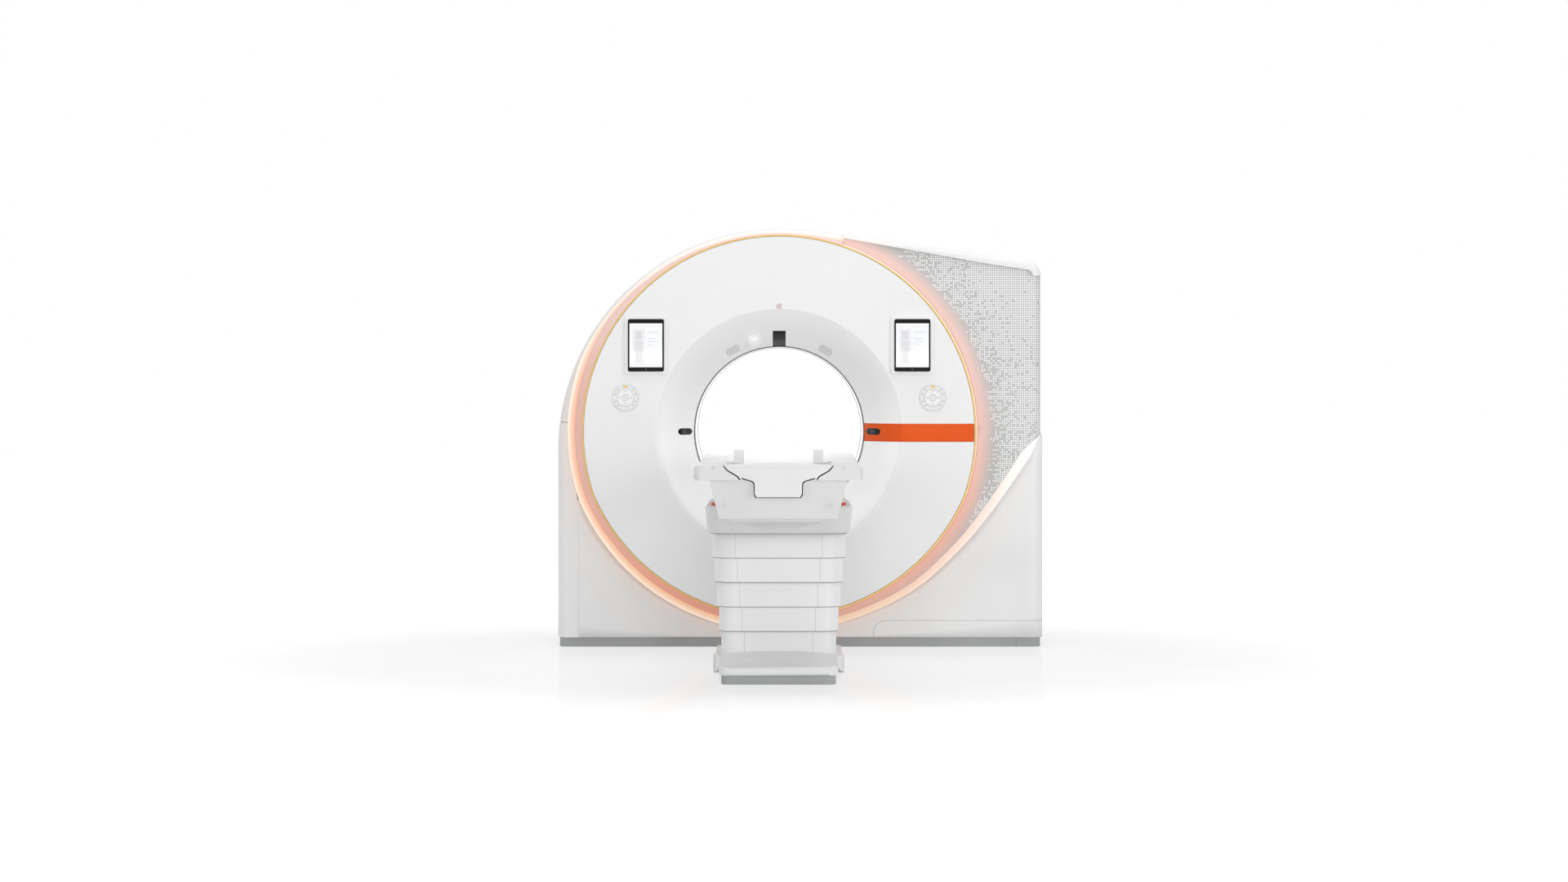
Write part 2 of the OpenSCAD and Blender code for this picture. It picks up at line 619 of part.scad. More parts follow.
holder_t = 16;
tablet_t = 8;
module holder(s) color(white) yex(disc_y - holder_t, disc_y)
  polygon(rr(s * tablet_x - tablet_w / 2 - holder_border - 2, s * tablet_x + tablet_w / 2
    + holder_border + 2, tablet_z - tablet_h / 2 - holder_border, tablet_z + tablet_h / 2
    + holder_border - 3, 12, 5));
module tablet(s) color(dark) yex(disc_y - holder_t - tablet_t, disc_y - holder_t)
  polygon(rr(s * tablet_x - tablet_w / 2, s * tablet_x + tablet_w / 2, tablet_z - tablet_h / 2,
    tablet_z + tablet_h / 2, 9, 5));
module holder_left() holder(-1);
module holder_right() holder(1);
module tablet_left() tablet(-1);
module tablet_right() tablet(1);

// A control pad is a thin round plate with a centre key and a ring-shaped key that moves the table
pad_t = 5;
key_r = 9;
ring_key_r = 43;
module pad(s) color(white) difference() {
  ycyl(s * pad_x, pad_z, pad_d / 2, disc_y - pad_t, disc_y);
  ycyl(s * pad_x, pad_z, ring_key_r + 0.5, disc_y - pad_t - 1, disc_y - 2);
  ycyl(s * pad_x, pad_z, 22, disc_y - pad_t - 1, disc_y + 1);
}
module move_key(s) color(white) difference() {
  ycyl(s * pad_x, pad_z, ring_key_r, disc_y - pad_t - 2.5, disc_y - 2.4 - key_travel);
  ycyl(s * pad_x, pad_z, 17, disc_y - pad_t - 5, disc_y);
}
module start_key(s) color(white) {
  ycyl(s * pad_x, pad_z, 16, disc_y - pad_t - 2.5, disc_y - 2);
  ycyl(s * pad_x, pad_z, 21.5, disc_y - 2, disc_y + 2);
}
module pad_left() pad(-1);
module pad_right() pad(1);
module move_key_left() move_key(-1);
module move_key_right() move_key(1);
module start_key_left() start_key(-1);
module start_key_right() start_key(1);

drum_y = 40;
module rotor_drum() color(steel) {
  difference() {
    ycyl(0, iso_z, rotor_r, drum_y, drum_y + rotor_t);
    ycyl(0, iso_z, rotor_in, drum_y - 1, drum_y + rotor_t + 1);
    for (a = [15:30:345]) translate([0, 0, iso_z]) rotate([0, -a, 0])
      ycyl(rim_mid - 10, 0, (rotor_r - hub_r) / 8 + 2.5, drum_y - 1, drum_y + rotor_t + 1);
  }
  difference() {
    ycyl(0, iso_z, hub_r, drum_y + rotor_t, frame_y + frame_t);
    ycyl(0, iso_z, hub_r - 28, drum_y + rotor_t - 1, frame_y + frame_t + 1);
  }
  difference() {
    ycyl(0, iso_z, rotor_r, -60, drum_y);
    ycyl(0, iso_z, rotor_r - 18, -61, drum_y + 1);
  }
}

// Places what is on the drum: a is the angle about the bore's axis
module on_drum(a) translate([0, 0, iso_z]) rotate([0, -a, 0]) children();
module xray_tube(a) on_drum(a) {
  ycyl(rim_mid - 10, 0, 92, -180, 10);
  ycyl(rim_mid - 10, 0, 60, 10, drum_y);
  translate([rim_mid - 140, -150, -70]) cube([90, 120, 140]);
}
det_r = rotor_r - 110;
module detector(a, half) on_drum(a) difference() {
  yturn(0, 0, -half, half) polygon([[det_r - 100, -165], [det_r, -165], [det_r, drum_y],
    [det_r - 60, drum_y], [det_r - 60, -20], [det_r - 100, -20]]);
  for (i = [-2:2]) rotate([0, -i * half * 0.36, 0]) translate([det_r - 8, -150, -5]) cube([20, 110, 10]);
}
module xray_tube_a() color(grey) xray_tube(90);
module xray_tube_b() color(grey) xray_tube(90 + tube_angle);
module detector_a() color(grey) detector(270, 26);
module detector_b() color(grey) detector(270 + tube_angle, 18);
module generator() color(grey) on_drum(140) difference() {
  translate([rotor_r - 330, -150, -150]) cube([260, 150 + drum_y, 300]);
  for (z = [-130:26:120]) translate([rotor_r - 340, -160, z]) cube([240, 22, 12]);
}
module slip_ring() color([0.72, 0.5, 0.3]) difference() {
  ycyl(0, iso_z, slip_r, frame_y + frame_t, frame_y + frame_t + 65);
  ycyl(0, iso_z, slip_r - 17, frame_y + frame_t - 1, frame_y + frame_t + 66);
  for (y = [frame_y + frame_t + 15:12:frame_y + frame_t + 51]) difference() {
    ycyl(0, iso_z, slip_r + 5, y, y + 5);
    ycyl(0, iso_z, slip_r - 4, y - 1, y + 6);
  }
}

seg5 = seg_n;
module seg_outline(k, o) polygon(rr(-seg_hw_of(k) - o, seg_hw_of(k) + o, seg_f(k) - o,
  seg_b(k) + o, seg_r + seg_step * (seg_n - k) + o));
// One pedestal section: a thin rounded tube with a lip at its foot that runs on the next section
module pedestal(k) color(white) difference() {
  zex(seg_bottom(k), seg_height_top(k)) seg_outline(k, 0);
  zex(seg_bottom(k) + (k == seg_n ? -2 : 8), seg_height_top(k) + 1) seg_outline(k, -seg_t);
  if (k < seg_n) zex(seg_bottom(k) - 1, seg_bottom(k) + 9) seg_outline(k + 1, seg_clear);
}
module pedestal_1() pedestal(1);
module pedestal_2() pedestal(2);
module pedestal_3() pedestal(3);
module pedestal_4() pedestal(4);
module pedestal_5() pedestal(5);

module table_base() color(steel) difference() {
  zex(0, base_t) seg_outline(seg_n, -seg_t - 0.5);
  for (x = [-195, 195], y = [-1780, -1010])
    translate([x, y, -1]) cylinder(h = base_t + 2, r = 9);
}

module foot_plinth() color(grey) zex(0, plate_plinth - fit)
  polygon(rr(-plate_hw + 10, plate_hw - 10, plate_y + 19, seg_front - 1, 40));

// The base cover: a foot plate in front that narrows, drops to the floor and runs along both sides
module foot_cover() color(white) difference() {
  intersection() {
    xex(-400, 400) polygon(concat(
      [[plate_y, plate_plinth + 8], [plate_y + 8, plate_plinth]],
      bez([seg_front - 230, plate_plinth], [seg_front - 130, plate_plinth], [seg_front - 100, 20], 5),
      bez([seg_front - 100, 20], [seg_front - 70, 0], [seg_front - 20, 0], 4),
      [[seg_rear + 180, 0], [seg_rear + 180, wing_h - 8], [seg_rear + 172, wing_h]],
      bez([seg_front + 230, wing_h], [seg_front + 90, wing_h], [seg_front + 10, plate_plinth + plate_t],
        6),
      [[plate_y + 12, plate_plinth + plate_t], [plate_y, plate_plinth + plate_t - 12]]));
    zex(-1, 200) polygon(concat(
      arc(-plate_hw + 60, plate_y + 60, 60, 180, 270, 6), arc(plate_hw - 60, plate_y + 60, 60, 270, 360, 6),
      bez([plate_hw, seg_front - 260], [plate_hw, seg_front - 90], [wing_hw, seg_front - 60], 5),
      arc(wing_hw - 30, seg_rear + 150, 30, 0, 90, 5), arc(-wing_hw + 30, seg_rear + 150, 30, 90, 180, 5),
      bez([-wing_hw, seg_front - 60], [-plate_hw, seg_front - 90], [-plate_hw, seg_front - 260], 5)));
  }
  zex(-2, 201) seg_outline(seg_n, 0.5);
  zex(-2, plate_plinth + 0.01) polygon(rr(-plate_hw + 9, plate_hw - 9, plate_y + 18, seg_front + 20, 40));
}

bridge_y0 = seg_rear + 180.5;
module cable_bridge() color(grey) {
  xex(-120, 120) polygon([[bridge_y0, 0], [front_y + 10 - fit, 0], [front_y + 10 - fit, 22],
    [bridge_y0, 22]]);
  for (x = [-120, 114]) xex(x, x + 6) polygon([[bridge_y0 + 80, 22], [bridge_y0 + 150, 22],
    [bridge_y0 + 125, 82], [bridge_y0 + 105, 82]]);
}

column_lo = seg_top - 424;
module tube(hw, y0, y1, r, t, z0, z1) color(steel) difference() {
  zex(z0, z1) polygon(rr(-hw, hw, y0, y1, r, 5));
  zex(z0 - 1, z1 + 1) polygon(rr(-hw + t, hw - t, y0 + t, y1 - t, r - t, 5));
}
col_in = column_t + column_gap;
module column_outer() tube(column_hw, column_y0, column_y1, 40, column_t, base_t, column_lo);
module column_mid() tube(column_hw - col_in, column_y0 + col_in, column_y1 - col_in, 40 - col_in,
  column_t, column_lo - 46, seg_top - 212);
module column_inner() tube(column_hw - 2 * col_in, column_y0 + 2 * col_in, column_y1 - 2 * col_in,
  14, 10, seg_top - 262, seg_top);

// A stack of rounded rectangles joined into one tapered solid. Each layer is [z, inset].
module taper(hw, y0, y1, r, layers) {
  n = 32;
  pts = [for (l = layers) for (p = rr(-hw + l[1], hw - l[1], y0 + l[1], y1 - l[1], r - l[1] / 2))
    [p[0], p[1], l[0]]];
  polyhedron(points = pts, faces = concat(
    [[for (i = [0:n - 1]) i]],
    [for (k = [0:len(layers) - 2]) for (i = [0:n - 1])
      [k * n + i, (k + 1) * n + i, (k + 1) * n + (i + 1) % n, k * n + (i + 1) % n]],
    [[for (i = [n - 1:-1:0]) (len(layers) - 1) * n + i]]));
}
module collar() color(white) difference() {
  taper(collar_hw, collar_f, collar_b, 110, [[collar_z0, 22], [collar_z0 + 7, 13], [collar_z0 + 25, 7],
    [collar_z0 + collar_h - 34, 1], [collar_z0 + collar_h - 8, 0], [collar_z0 + collar_h, 8]]);
  zex(collar_z0 - 1, collar_z0 + 9) seg_outline(1, seg_clear);
  zex(collar_z0 + 8, seg_top) seg_outline(1, seg_t);
  translate([-box_bot_hw - 5, collar_f - 10, seg_top - 0.01])
    cube([2 * box_bot_hw + 10, collar_b - collar_f + 20, 60]);
}

// Right half of the tabletop's underside: a keel, a small bead, then shallow wings
top_half = [[90, -129], [97, -116], [98, -72], [106, -62], [149, -49], [157, -54], [167, -41],
  [206, -18], [219, -5], [227, 9]];
function top_under(o) = concat([for (p = rev(top_half)) [-p[0] - o, rim_z + p[1] - o]],
  [for (p = top_half) [p[0] + o, rim_z + p[1] - o]]);
// Two low runners in the trough carry the sliding top under its wings
function under(x) = rim_z + lookup(x, [for (p = top_half) if (p[0] > 104) p]);
runner_x = 176;
module runner(s) yex(foot_y + 40, head_y) polygon([for (q = [[0, top_gap + 5], [2, fit], [12, fit],
  [14, top_gap + 5]]) [s * (runner_x + q[0]), under(runner_x + q[0]) - q[1]]]);
module channel(y0, y1) yex(y0, y1) polygon(concat(top_under(top_gap),
  [[227 + top_gap, rim_z + 60], [-227 - top_gap, rim_z + 60]]));

module table_frame() color(white) {
  runner(1);
  runner(-1);
  table_body();
}
module table_body() difference() {
  union() {
    intersection() {
      yex(foot_y, head_y) polygon([[-rim_hw + 8, rim_z - rim_h], [rim_hw - 8, rim_z - rim_h],
        [rim_hw, rim_z - rim_h + 8], [rim_hw - 2, rim_z - 8], [rim_hw - 12, rim_z],
        [-rim_hw + 12, rim_z], [-rim_hw + 2, rim_z - 8], [-rim_hw, rim_z - rim_h + 8]]);
      zex(rim_z - rim_h - 1, rim_z + 1) polygon(rr(-rim_hw, rim_hw, foot_y, head_y, 30, 5));
    }
    difference() {
      intersection() {
        yex(box_foot, box_head) polygon([[-box_bot_hw, seg_top], [box_bot_hw, seg_top],
          [box_top_hw, rim_z - rim_h], [-box_top_hw, rim_z - rim_h]]);
        xex(-400, 400) polygon([[box_foot + 35, seg_top], [collar_b - 2, seg_top],
          [box_head, rim_z - rim_h], [box_foot, rim_z - rim_h]]);
      }
      yex(box_foot + 50, collar_b - 30) polygon([[-box_bot_hw + box_t, seg_top + box_t],
        [box_bot_hw - box_t, seg_top + box_t], [box_top_hw - box_t, rim_z - rim_h + 1],
        [-box_top_hw + box_t, rim_z - rim_h + 1]]);
    }
  }
  channel(foot_y - 1, head_y + 1);
}

// Left flank of the belly's section, from the trough's edge: (inward, down), in two small steps
belly_side = [[14, fit], [22, 8], [44, 8], [48, 13], [62, 13]];
module belly_cover() color(white) intersection() {
  yex(foot_y, collar_f) polygon(concat([for (q = belly_side) [-box_bot_hw + q[0], seg_top - q[1]]],
    bez([-box_bot_hw + 66, seg_top - 18], [0, seg_top + 18 - 2 * belly_d], [box_bot_hw - 66, seg_top - 18], 12),
    [for (q = rev(belly_side)) [box_bot_hw - q[0], seg_top - q[1]]]));
  xex(-400, 400) polygon(concat([[box_foot + 40, seg_top - fit]],
    bez([box_foot + 60, seg_top - 14], [box_foot + 150, seg_top - belly_d], [box_foot + 420, seg_top - belly_d], 6),
    [[collar_f - 60, seg_top - belly_d], [collar_f - 8, seg_top - 14], [collar_f - 5, seg_top - fit]]));
}

module light_strips() color(orange) for (s = [-1, 1])
  translate([s * (box_bot_hw + 39) - 14, collar_f + 95, collar_z0 + collar_h])
    cube([28, collar_b - collar_f - 190, 20]);

// The tabletop: a long shallow tray on a keel, rounded at the head. Its foot has a flat block with an
// arched lip, and two small clips stand behind the block.
block_l = 430;
function crown(z0, z1, half) = bez([half, rim_z + z0], [0, rim_z + 2 * z1 - z0], [-half, rim_z + z0], 8);
module clip(x) xex(x, x + 42) polygon([[foot_y + block_l - 8, rim_z], [foot_y + block_l + 46, rim_z],
  [foot_y + block_l + 46, rim_z + 52], [foot_y + block_l + 40, rim_z + 58],
  [foot_y + block_l + 12, rim_z + 58], [foot_y + block_l + 2, rim_z + 48]]);
module tabletop() color(white) difference() {
  union() {
    intersection() {
      yex(foot_y + block_l, head_y - 10) polygon(concat(top_under(0), [[216, rim_z + 10]],
        crown(8, -6, 202), [[-216, rim_z + 10]]));
      zex(rim_z - 200, rim_z + 100) polygon(concat([[240, foot_y]], arc(240 - 90, head_y - 100, 90, 0, 90, 8),
        arc(90 - 240, head_y - 100, 90, 90, 180, 8), [[-240, foot_y]]));
    }
    yex(foot_y + 20, foot_y + block_l) polygon(concat(top_under(0), [[216, rim_z - 4]],
      crown(-3, 4, 208), [[-216, rim_z - 4]]));
    yex(foot_y, foot_y + 20) polygon(concat(top_under(0), [[216, rim_z - 4]],
      crown(-2, 14, 208), [[-216, rim_z - 4]]));
    for (x = [-189, 147]) clip(x);
  }
  translate([-220, foot_y - 1, rim_z - 6.7]) cube([440, 2.5, 1.4]);
}

plinth();
base_beams();
gantry_frame();
main_bearing();
brush_block();
power_cabinet();
front_disc();
trim_ring();
light_ring();
front_panel();
lower_front_cover();
left_cover();
upper_shell();
roof_cover();
right_upper_cover();
right_lower_cover();
rear_cover();
scan_window();
bore_liner();
rear_ring();
accent_stripe();
laser_windows();
camera_window();
camera_dome();
speaker_grilles();
status_ring();
holder_left();
holder_right();
tablet_left();
tablet_right();
pad_left();
pad_right();
start_key_left();
start_key_right();
move_key_left();
move_key_right();
rotor_drum();
xray_tube_a();
xray_tube_b();
detector_a();
detector_b();
generator();
slip_ring();
table_base();
foot_plinth();
foot_cover();
cable_bridge();
pedestal_5();
pedestal_4();
pedestal_3();
pedestal_2();
pedestal_1();
column_outer();
column_mid();
column_inner();
collar();
table_frame();
belly_cover();
light_strips();
tabletop();
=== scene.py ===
# %% [markdown]
# # A CT scanner: wide gantry and patient table
# The part comes in as a fixed frame of solids. This lesson dresses it: covers swept along curved
# outlines, a lit ring, a patient table, and paints with some life in them. Shapes are written in
# millimetres, paints in metres, because object coordinates are.

# %% Load the frame
import bpy
import bmesh
import json
from math import acos, asin, atan2, ceil, cos, hypot, pi, radians, sin, sqrt
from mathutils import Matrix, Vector

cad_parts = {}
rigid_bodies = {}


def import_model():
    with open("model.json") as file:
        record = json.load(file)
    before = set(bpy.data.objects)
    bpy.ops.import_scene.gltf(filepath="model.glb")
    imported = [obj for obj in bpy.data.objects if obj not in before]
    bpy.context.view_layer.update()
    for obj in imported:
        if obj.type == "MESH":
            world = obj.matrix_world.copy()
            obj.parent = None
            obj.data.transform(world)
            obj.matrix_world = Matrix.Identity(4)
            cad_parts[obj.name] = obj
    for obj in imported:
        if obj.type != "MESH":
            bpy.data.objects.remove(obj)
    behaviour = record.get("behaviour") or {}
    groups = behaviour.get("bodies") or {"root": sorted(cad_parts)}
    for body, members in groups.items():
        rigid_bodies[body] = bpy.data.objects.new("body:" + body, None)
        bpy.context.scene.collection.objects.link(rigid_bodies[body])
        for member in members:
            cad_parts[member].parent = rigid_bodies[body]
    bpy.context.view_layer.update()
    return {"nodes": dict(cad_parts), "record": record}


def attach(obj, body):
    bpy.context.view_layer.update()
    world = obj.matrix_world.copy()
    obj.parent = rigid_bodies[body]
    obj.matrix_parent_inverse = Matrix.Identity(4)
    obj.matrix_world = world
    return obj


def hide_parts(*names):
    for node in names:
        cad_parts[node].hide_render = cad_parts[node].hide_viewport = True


for left_over in list(bpy.data.objects):
    bpy.data.objects.remove(left_over)
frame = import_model()

# %% [markdown]
# ## The machine's main sizes
# Every cover takes its shape from a few lines: the bore's axis, the disc's two arcs, the housing's
# large arc and its sloping roof. They could be measured on each mesh, but written once they keep the
# pieces together.

# %% Sizes in millimetres
iso_z, bore_r = 1043, 410
disc_r, disc_low, low_r = 948, 895, 978
low_dz = low_r - disc_low
disc_y, front_y, rear_y = -430, -310, 420
crease_r, rim_y = 592, disc_y + 210
arc_x, arc_z, house_r = 10, 949, 1085
roof_a = radians(90 - 8.4)
house_right, corner_r, low_right = 1270, 70, 1279
edge_r, roof_edge_r, cover_t, skin_rear = 65, 30, 12, rear_y - 16
plinth_z, panel_y, seam = 45.3, front_y + 23, 0.8
band_w, bevel_w, band_depth, ring_t, band_side = 44, 30, 35, 6, 14
open_o = band_w + bevel_w + 4.7
right_c_x = house_right - corner_r
right_c_z = arc_z + (house_r - corner_r - (right_c_x - arc_x) * cos(roof_a)) / sin(roof_a)
roof_len = (right_c_x - arc_x) * sin(roof_a) - (right_c_z - arc_z) * cos(roof_a)
roof_seam = 143
left_seam_a = asin((1090 - arc_z) / house_r)
seam_x = arc_x + house_r * cos(roof_a) + roof_seam * sin(roof_a)
rise_x0 = 236
sides = ((-1, "left"), (1, "right"))
print("roof corner at", round(right_c_x), round(right_c_z), "roof length", round(roof_len))


# %% Helpers for rows of numbers
def spread(a, b, n):
    """n even steps from a to b, both ends included."""
    return [a + (b - a) * i / n for i in range(n + 1)]


def circle(n):
    return spread(0, 2 * pi, n)[:-1]


def halve(lo, hi, go_up, steps=40):
    """Bisection: go_up is true while the answer lies above."""
    for _ in range(steps):
        mid = (lo + hi) / 2
        lo, hi = (mid, hi) if go_up(mid) else (lo, mid)
    return lo


turn = circle(360)

# %% [markdown]
# ## Writing node trees as sums
# Every finish is a small calculation: how far is this point from the ring, how cloudy is the colour.
# Linking nodes one by one hides the thought. A Wire is one value in the tree, and +, *, < on it add
# Math nodes, so a paint reads like a formula. A plain number isn't a node: it is set on the socket
# itself.

# %% Wires and paints
def plug(value, socket):
    """Links a wire or sets the socket. One number is a grey, three are a colour, 0 to 255."""
    if isinstance(value, Wire):
        value.nodes.tree.links.new(value.socket, socket)
    elif socket.type == "RGBA" and not (isinstance(value, tuple) and len(value) == 4):
        shares = [v / 255 for v in (value if isinstance(value, tuple) else (value,) * 3)]
        linear = [c / 12.92 if c <= 0.04045 else ((c + 0.055) / 1.055) ** 2.4 for c in shares]
        socket.default_value = (*linear, 1)
    else:
        socket.default_value = value


def maths(kind):
    return lambda wire, *others: wire.nodes.add("Math", dict(enumerate((wire, *others))), operation=kind)


class Wire:
    def __init__(self, nodes, socket):
        self.nodes, self.socket = nodes, socket

    __add__, __sub__, __mul__, __truediv__ = maths("ADD"), maths("SUBTRACT"), maths("MULTIPLY"), maths("DIVIDE")
    __lt__, __gt__, __abs__ = maths("LESS_THAN"), maths("GREATER_THAN"), maths("ABSOLUTE")
    root, floor, ceil, fract = maths("SQRT"), maths("FLOOR"), maths("CEIL"), maths("FRACT")
    larger = maths("MAXIMUM")

    def ramp(self, a, b, to_a=0.0, to_b=1.0, smooth=False):
        return self.nodes.add("MapRange", {"Value": self, "From Min": a, "From Max": b, "To Min": to_a,
            "To Max": to_b}, interpolation_type="SMOOTHSTEP" if smooth else "LINEAR")

    def mix(self, a, b):
        """Colour a with this wire's share of b."""
        return self.nodes.add("Mix", {"Factor": self, "A": a, "B": b}, "Result", data_type="RGBA")


class Nodes:
    def __init__(self, tree):
        self.tree = tree

    def add(self, kind, inputs=None, out=0, **settings):
        n = self.tree.nodes.new("ShaderNode" + kind)
        for key, value in settings.items():
            setattr(n, key, value)
        for key, value in (inputs or {}).items():
            plug(value, n.inputs[key])
        return Wire(self, n.outputs[out]) if n.outputs else n

    def coords(self):
        return self.add("TexCoord", out="Object")

    def place(self):
        split = self.add("SeparateXYZ", {0: self.coords()})
        return [Wire(self, out) for out in split.socket.node.outputs]

    def noise(self, scale, detail=3.0, stretch=None):
        point = self.coords()
        if stretch:
            point = self.add("Mapping", {"Vector": point, "Scale": stretch})
        return self.add("TexNoise", {"Vector": point, "Scale": scale, "Detail": detail}, "Fac")

    def cloud(self, scale, low=0.0, high=1.0, detail=3.0, stretch=None):
        return self.noise(scale, detail, stretch).ramp(0.3, 0.7, low, high)


class Paint(Nodes):
    def __init__(self, name, rough=0.4, metal=0.0, coat=0.0, level=0.5):
        self.mat = bpy.data.materials.new(name)
        self.mat.use_nodes = True
        super().__init__(self.mat.node_tree)
        self.shader = self.tree.nodes["Principled BSDF"]
        self.set(Roughness=rough, Metallic=metal, Coat_Weight=coat, Specular_IOR_Level=level)

    def set(self, **values):
        for key, value in values.items():
            plug(value, self.shader.inputs[key.replace("_", " ")])

    def bump(self, height, strength, distance=0.001):
        self.set(Normal=self.add("Bump", {"Height": height, "Strength": strength, "Distance": distance}))


# %% [markdown]
# ## Paints
# A moulded cover is sprayed: the colour drifts, the gloss changes a little and the skin has a faint
# orange peel. One helper sends soft noise to all three, because an even white looks like paper. The
# glow beside the light ring could be a lamp, but here it is painted light, a tint by place, which is
# steadier: it is read from object coordinates and stays put when the view turns. The funnel's lower
# half gets painted light too, a faint glow of its own, as the real one gets light from the bore.

# %% The shared paint and the covers' colours
def ring_distance(x, z):
    """Metres outside the disc's outline: the larger of two circles' distances."""
    far = []
    for centre_z, radius in ((iso_z, disc_r), (iso_z + low_dz, low_r)):
        up = z - centre_z / 1000
        far.append((x * x + up * up).root() - radius / 1000)
    return far[0].larger(far[1])


def sprayed(name, light, dark, rough=0.4, grain=900, peel=0.05, coat=0.0, metal=0.0, level=0.5, stretch=None,
        over=None):
    """over(paint, colour) may give another colour."""
    paint = Paint(name, rough, metal, coat, level)
    colour = paint.cloud(3.0, detail=2.0, stretch=stretch).mix(dark, light)
    if over:
        colour = over(paint, colour)
    paint.set(Base_Color=colour, Roughness=paint.cloud(12.0, rough - 0.04, rough + 0.05, stretch=stretch))
    paint.bump(paint.noise(grain, 2.0, stretch), peel, 0.0004)
    return paint


# Painted light: covers near the ring take on its warm glow, strongest low down and at the front.
def ring_glow(paint, colour):
    x, y, z = paint.place()
    d = ring_distance(x, z)
    near = d.ramp(0.06, 0.16, 0.60, 0.0, True) + d.ramp(0.06, 0.36, 0.18, 0.0, True)
    front, low = y.ramp(-0.30, -0.24, 1.0, 0.0), z.ramp(0.5, 1.6, 1.0, 0.25, True)
    return (near * front * low).mix(colour, (255, 234, 224))


cover_paint = sprayed("cover_paint", (240, 240, 239), 234, 0.42, over=ring_glow)
front_paint = sprayed("front_paint", 241, 239, 0.34, peel=0.02)
# Painted light: the funnel's lower half glows a little.
x, y, z = front_paint.place()
up = z - iso_z / 1000
in_funnel = (x * x + up * up).ramp(0.56 ** 2, 0.61 ** 2, 1.0, 0.0, True)
lower_half = up.ramp(-0.25, 0.38, 1, 0, True)
front_paint.set(Emission_Color=255, Emission_Strength=in_funnel * lower_half * 0.17)
# Painted shade and light: the table's one white is set darker on the belly and lighter on the foot, as the
# light falls on them.
table_shaded_paint = sprayed("table_shaded_paint", 222, 216, 0.36)
foot_lit_paint = sprayed("foot_lit_paint", 238, 232, 0.36)
top_paint = sprayed("top_paint", 232, 226, 0.34)
side_paint = sprayed("side_paint", (186, 188, 190), (180, 182, 184), 0.42)
plinth_paint = sprayed("plinth_paint", (172, 174, 174), (160, 162, 162), 0.5)
# Painted light: the liner glows a little, so it stays white deep in the bore.
bore_glow_paint = sprayed("bore_glow_paint", 250, 245, 0.4)
bore_glow_paint.set(Emission_Color=255, Emission_Strength=0.25)
window_paint = sprayed("window_paint", (52, 52, 54), (40, 40, 42), 0.35, grain=1400)
rear_ring_paint = sprayed("rear_ring_paint", (150, 152, 154), (140, 142, 144), 0.4)
print("paints made:", len(bpy.data.materials))

# %% [markdown]
# ## Building with rings
# Nearly every cover is a profile that travels along an outline. A bevelled curve could do this, but its
# profile can't change on the way. A loft of point rings is as short, and each ring is worked out from
# the sizes above.

# %% Mesh helpers
def in_scene(name, data):
    obj = bpy.data.objects.new(name, data)
    bpy.context.scene.collection.objects.link(obj)
    return obj


def as_piece(name, mesh, paint, body, node, sharp):
    for p in mesh.polygons:
        p.use_smooth = True
    mesh.set_sharp_from_angle(angle=radians(sharp))
    mesh.materials.append(paint.mat)
    piece = in_scene(name, mesh)
    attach(piece, body)
    if node:
        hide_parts(node)
    return piece


def add_piece(name, verts, faces, paint, slot, body="gantry", node=None, sharp=32):
    mesh = bpy.data.meshes.new(name)
    mesh.from_pydata([(x / 1000, y / 1000, z / 1000) for x, y, z in verts], [], faces)
    bm = bmesh.new()
    bm.from_mesh(mesh)
    bmesh.ops.remove_doubles(bm, verts=bm.verts, dist=2e-6)
    bmesh.ops.dissolve_degenerate(bm, edges=bm.edges, dist=1e-6)
    bmesh.ops.recalc_face_normals(bm, faces=bm.faces)
    bm.to_mesh(mesh)
    bm.free()
    return as_piece(name, mesh, paint, body, node, sharp)


def loft(rings, closed=True, looped=False, caps=False):
    """looped joins the last ring to the first."""
    n, count, faces = len(rings[0]), len(rings), []
    for k in range(count if looped else count - 1):
        a, b = k * n, (k + 1) % count * n
        for i in range(n if closed else n - 1):
            j = (i + 1) % n
            faces.append((a + i, a + j, b + j, b + i))
    if caps:
        faces += [tuple(range(n)), tuple((count - 1) * n + i for i in reversed(range(n)))]
    return [p for r in rings for p in r], faces


def merged(parts):
    verts, faces = [], []
    for v, f in parts:
        faces += [tuple(i + len(verts) for i in face) for face in f]
        verts += list(v)
    return verts, faces


def arc_pts(cx, cz, r, a0, a1, n):
    return [(cx + r * cos(a), cz + r * sin(a)) for a in spread(radians(a0), radians(a1), n)]


def turned_piece(name, cx, cz, profile, paint, slot, n=64, **more):
    """A profile of (radius, y) turned about an axis along y."""
    rings = [[(cx + r * cos(t), y, cz + r * sin(t)) for t in circle(n)] for r, y in profile]
    return add_piece(name, *loft(rings), paint, slot, sharp=40, **more)


def walled(piece, thickness):
    wall = piece.modifiers.new("wall", "SOLIDIFY")
    wall.thickness, wall.offset = thickness, -1


# %% [markdown]
# ## Outlines of the disc and the ring
# The disc is round but for a flatter lower edge, where a larger circle takes over. The ring follows it
# but stays inside the housing's arc, so it narrows under the roof. A curve object could hold such a
# line; a radius at an angle is easier to blend into the round bore.

# %% Outline functions
def reach(cx, cz, r, t):
    """How far a circle reaches from the bore's axis at angle t."""
    d = cx * cos(t) + cz * sin(t)
    return d + sqrt(max(r * r - cx * cx - cz * cz + d * d, 0))


def disc_radius(t, o=0.0):
    return min(disc_r + o, reach(0, low_dz, low_r + o, t))


def along_roof(x, z):
    """A point's distance along the roof and out from the arc's centre."""
    dx, dz = x - arc_x, z - arc_z
    return dx * sin(roof_a) - dz * cos(roof_a), dx * cos(roof_a) + dz * sin(roof_a)


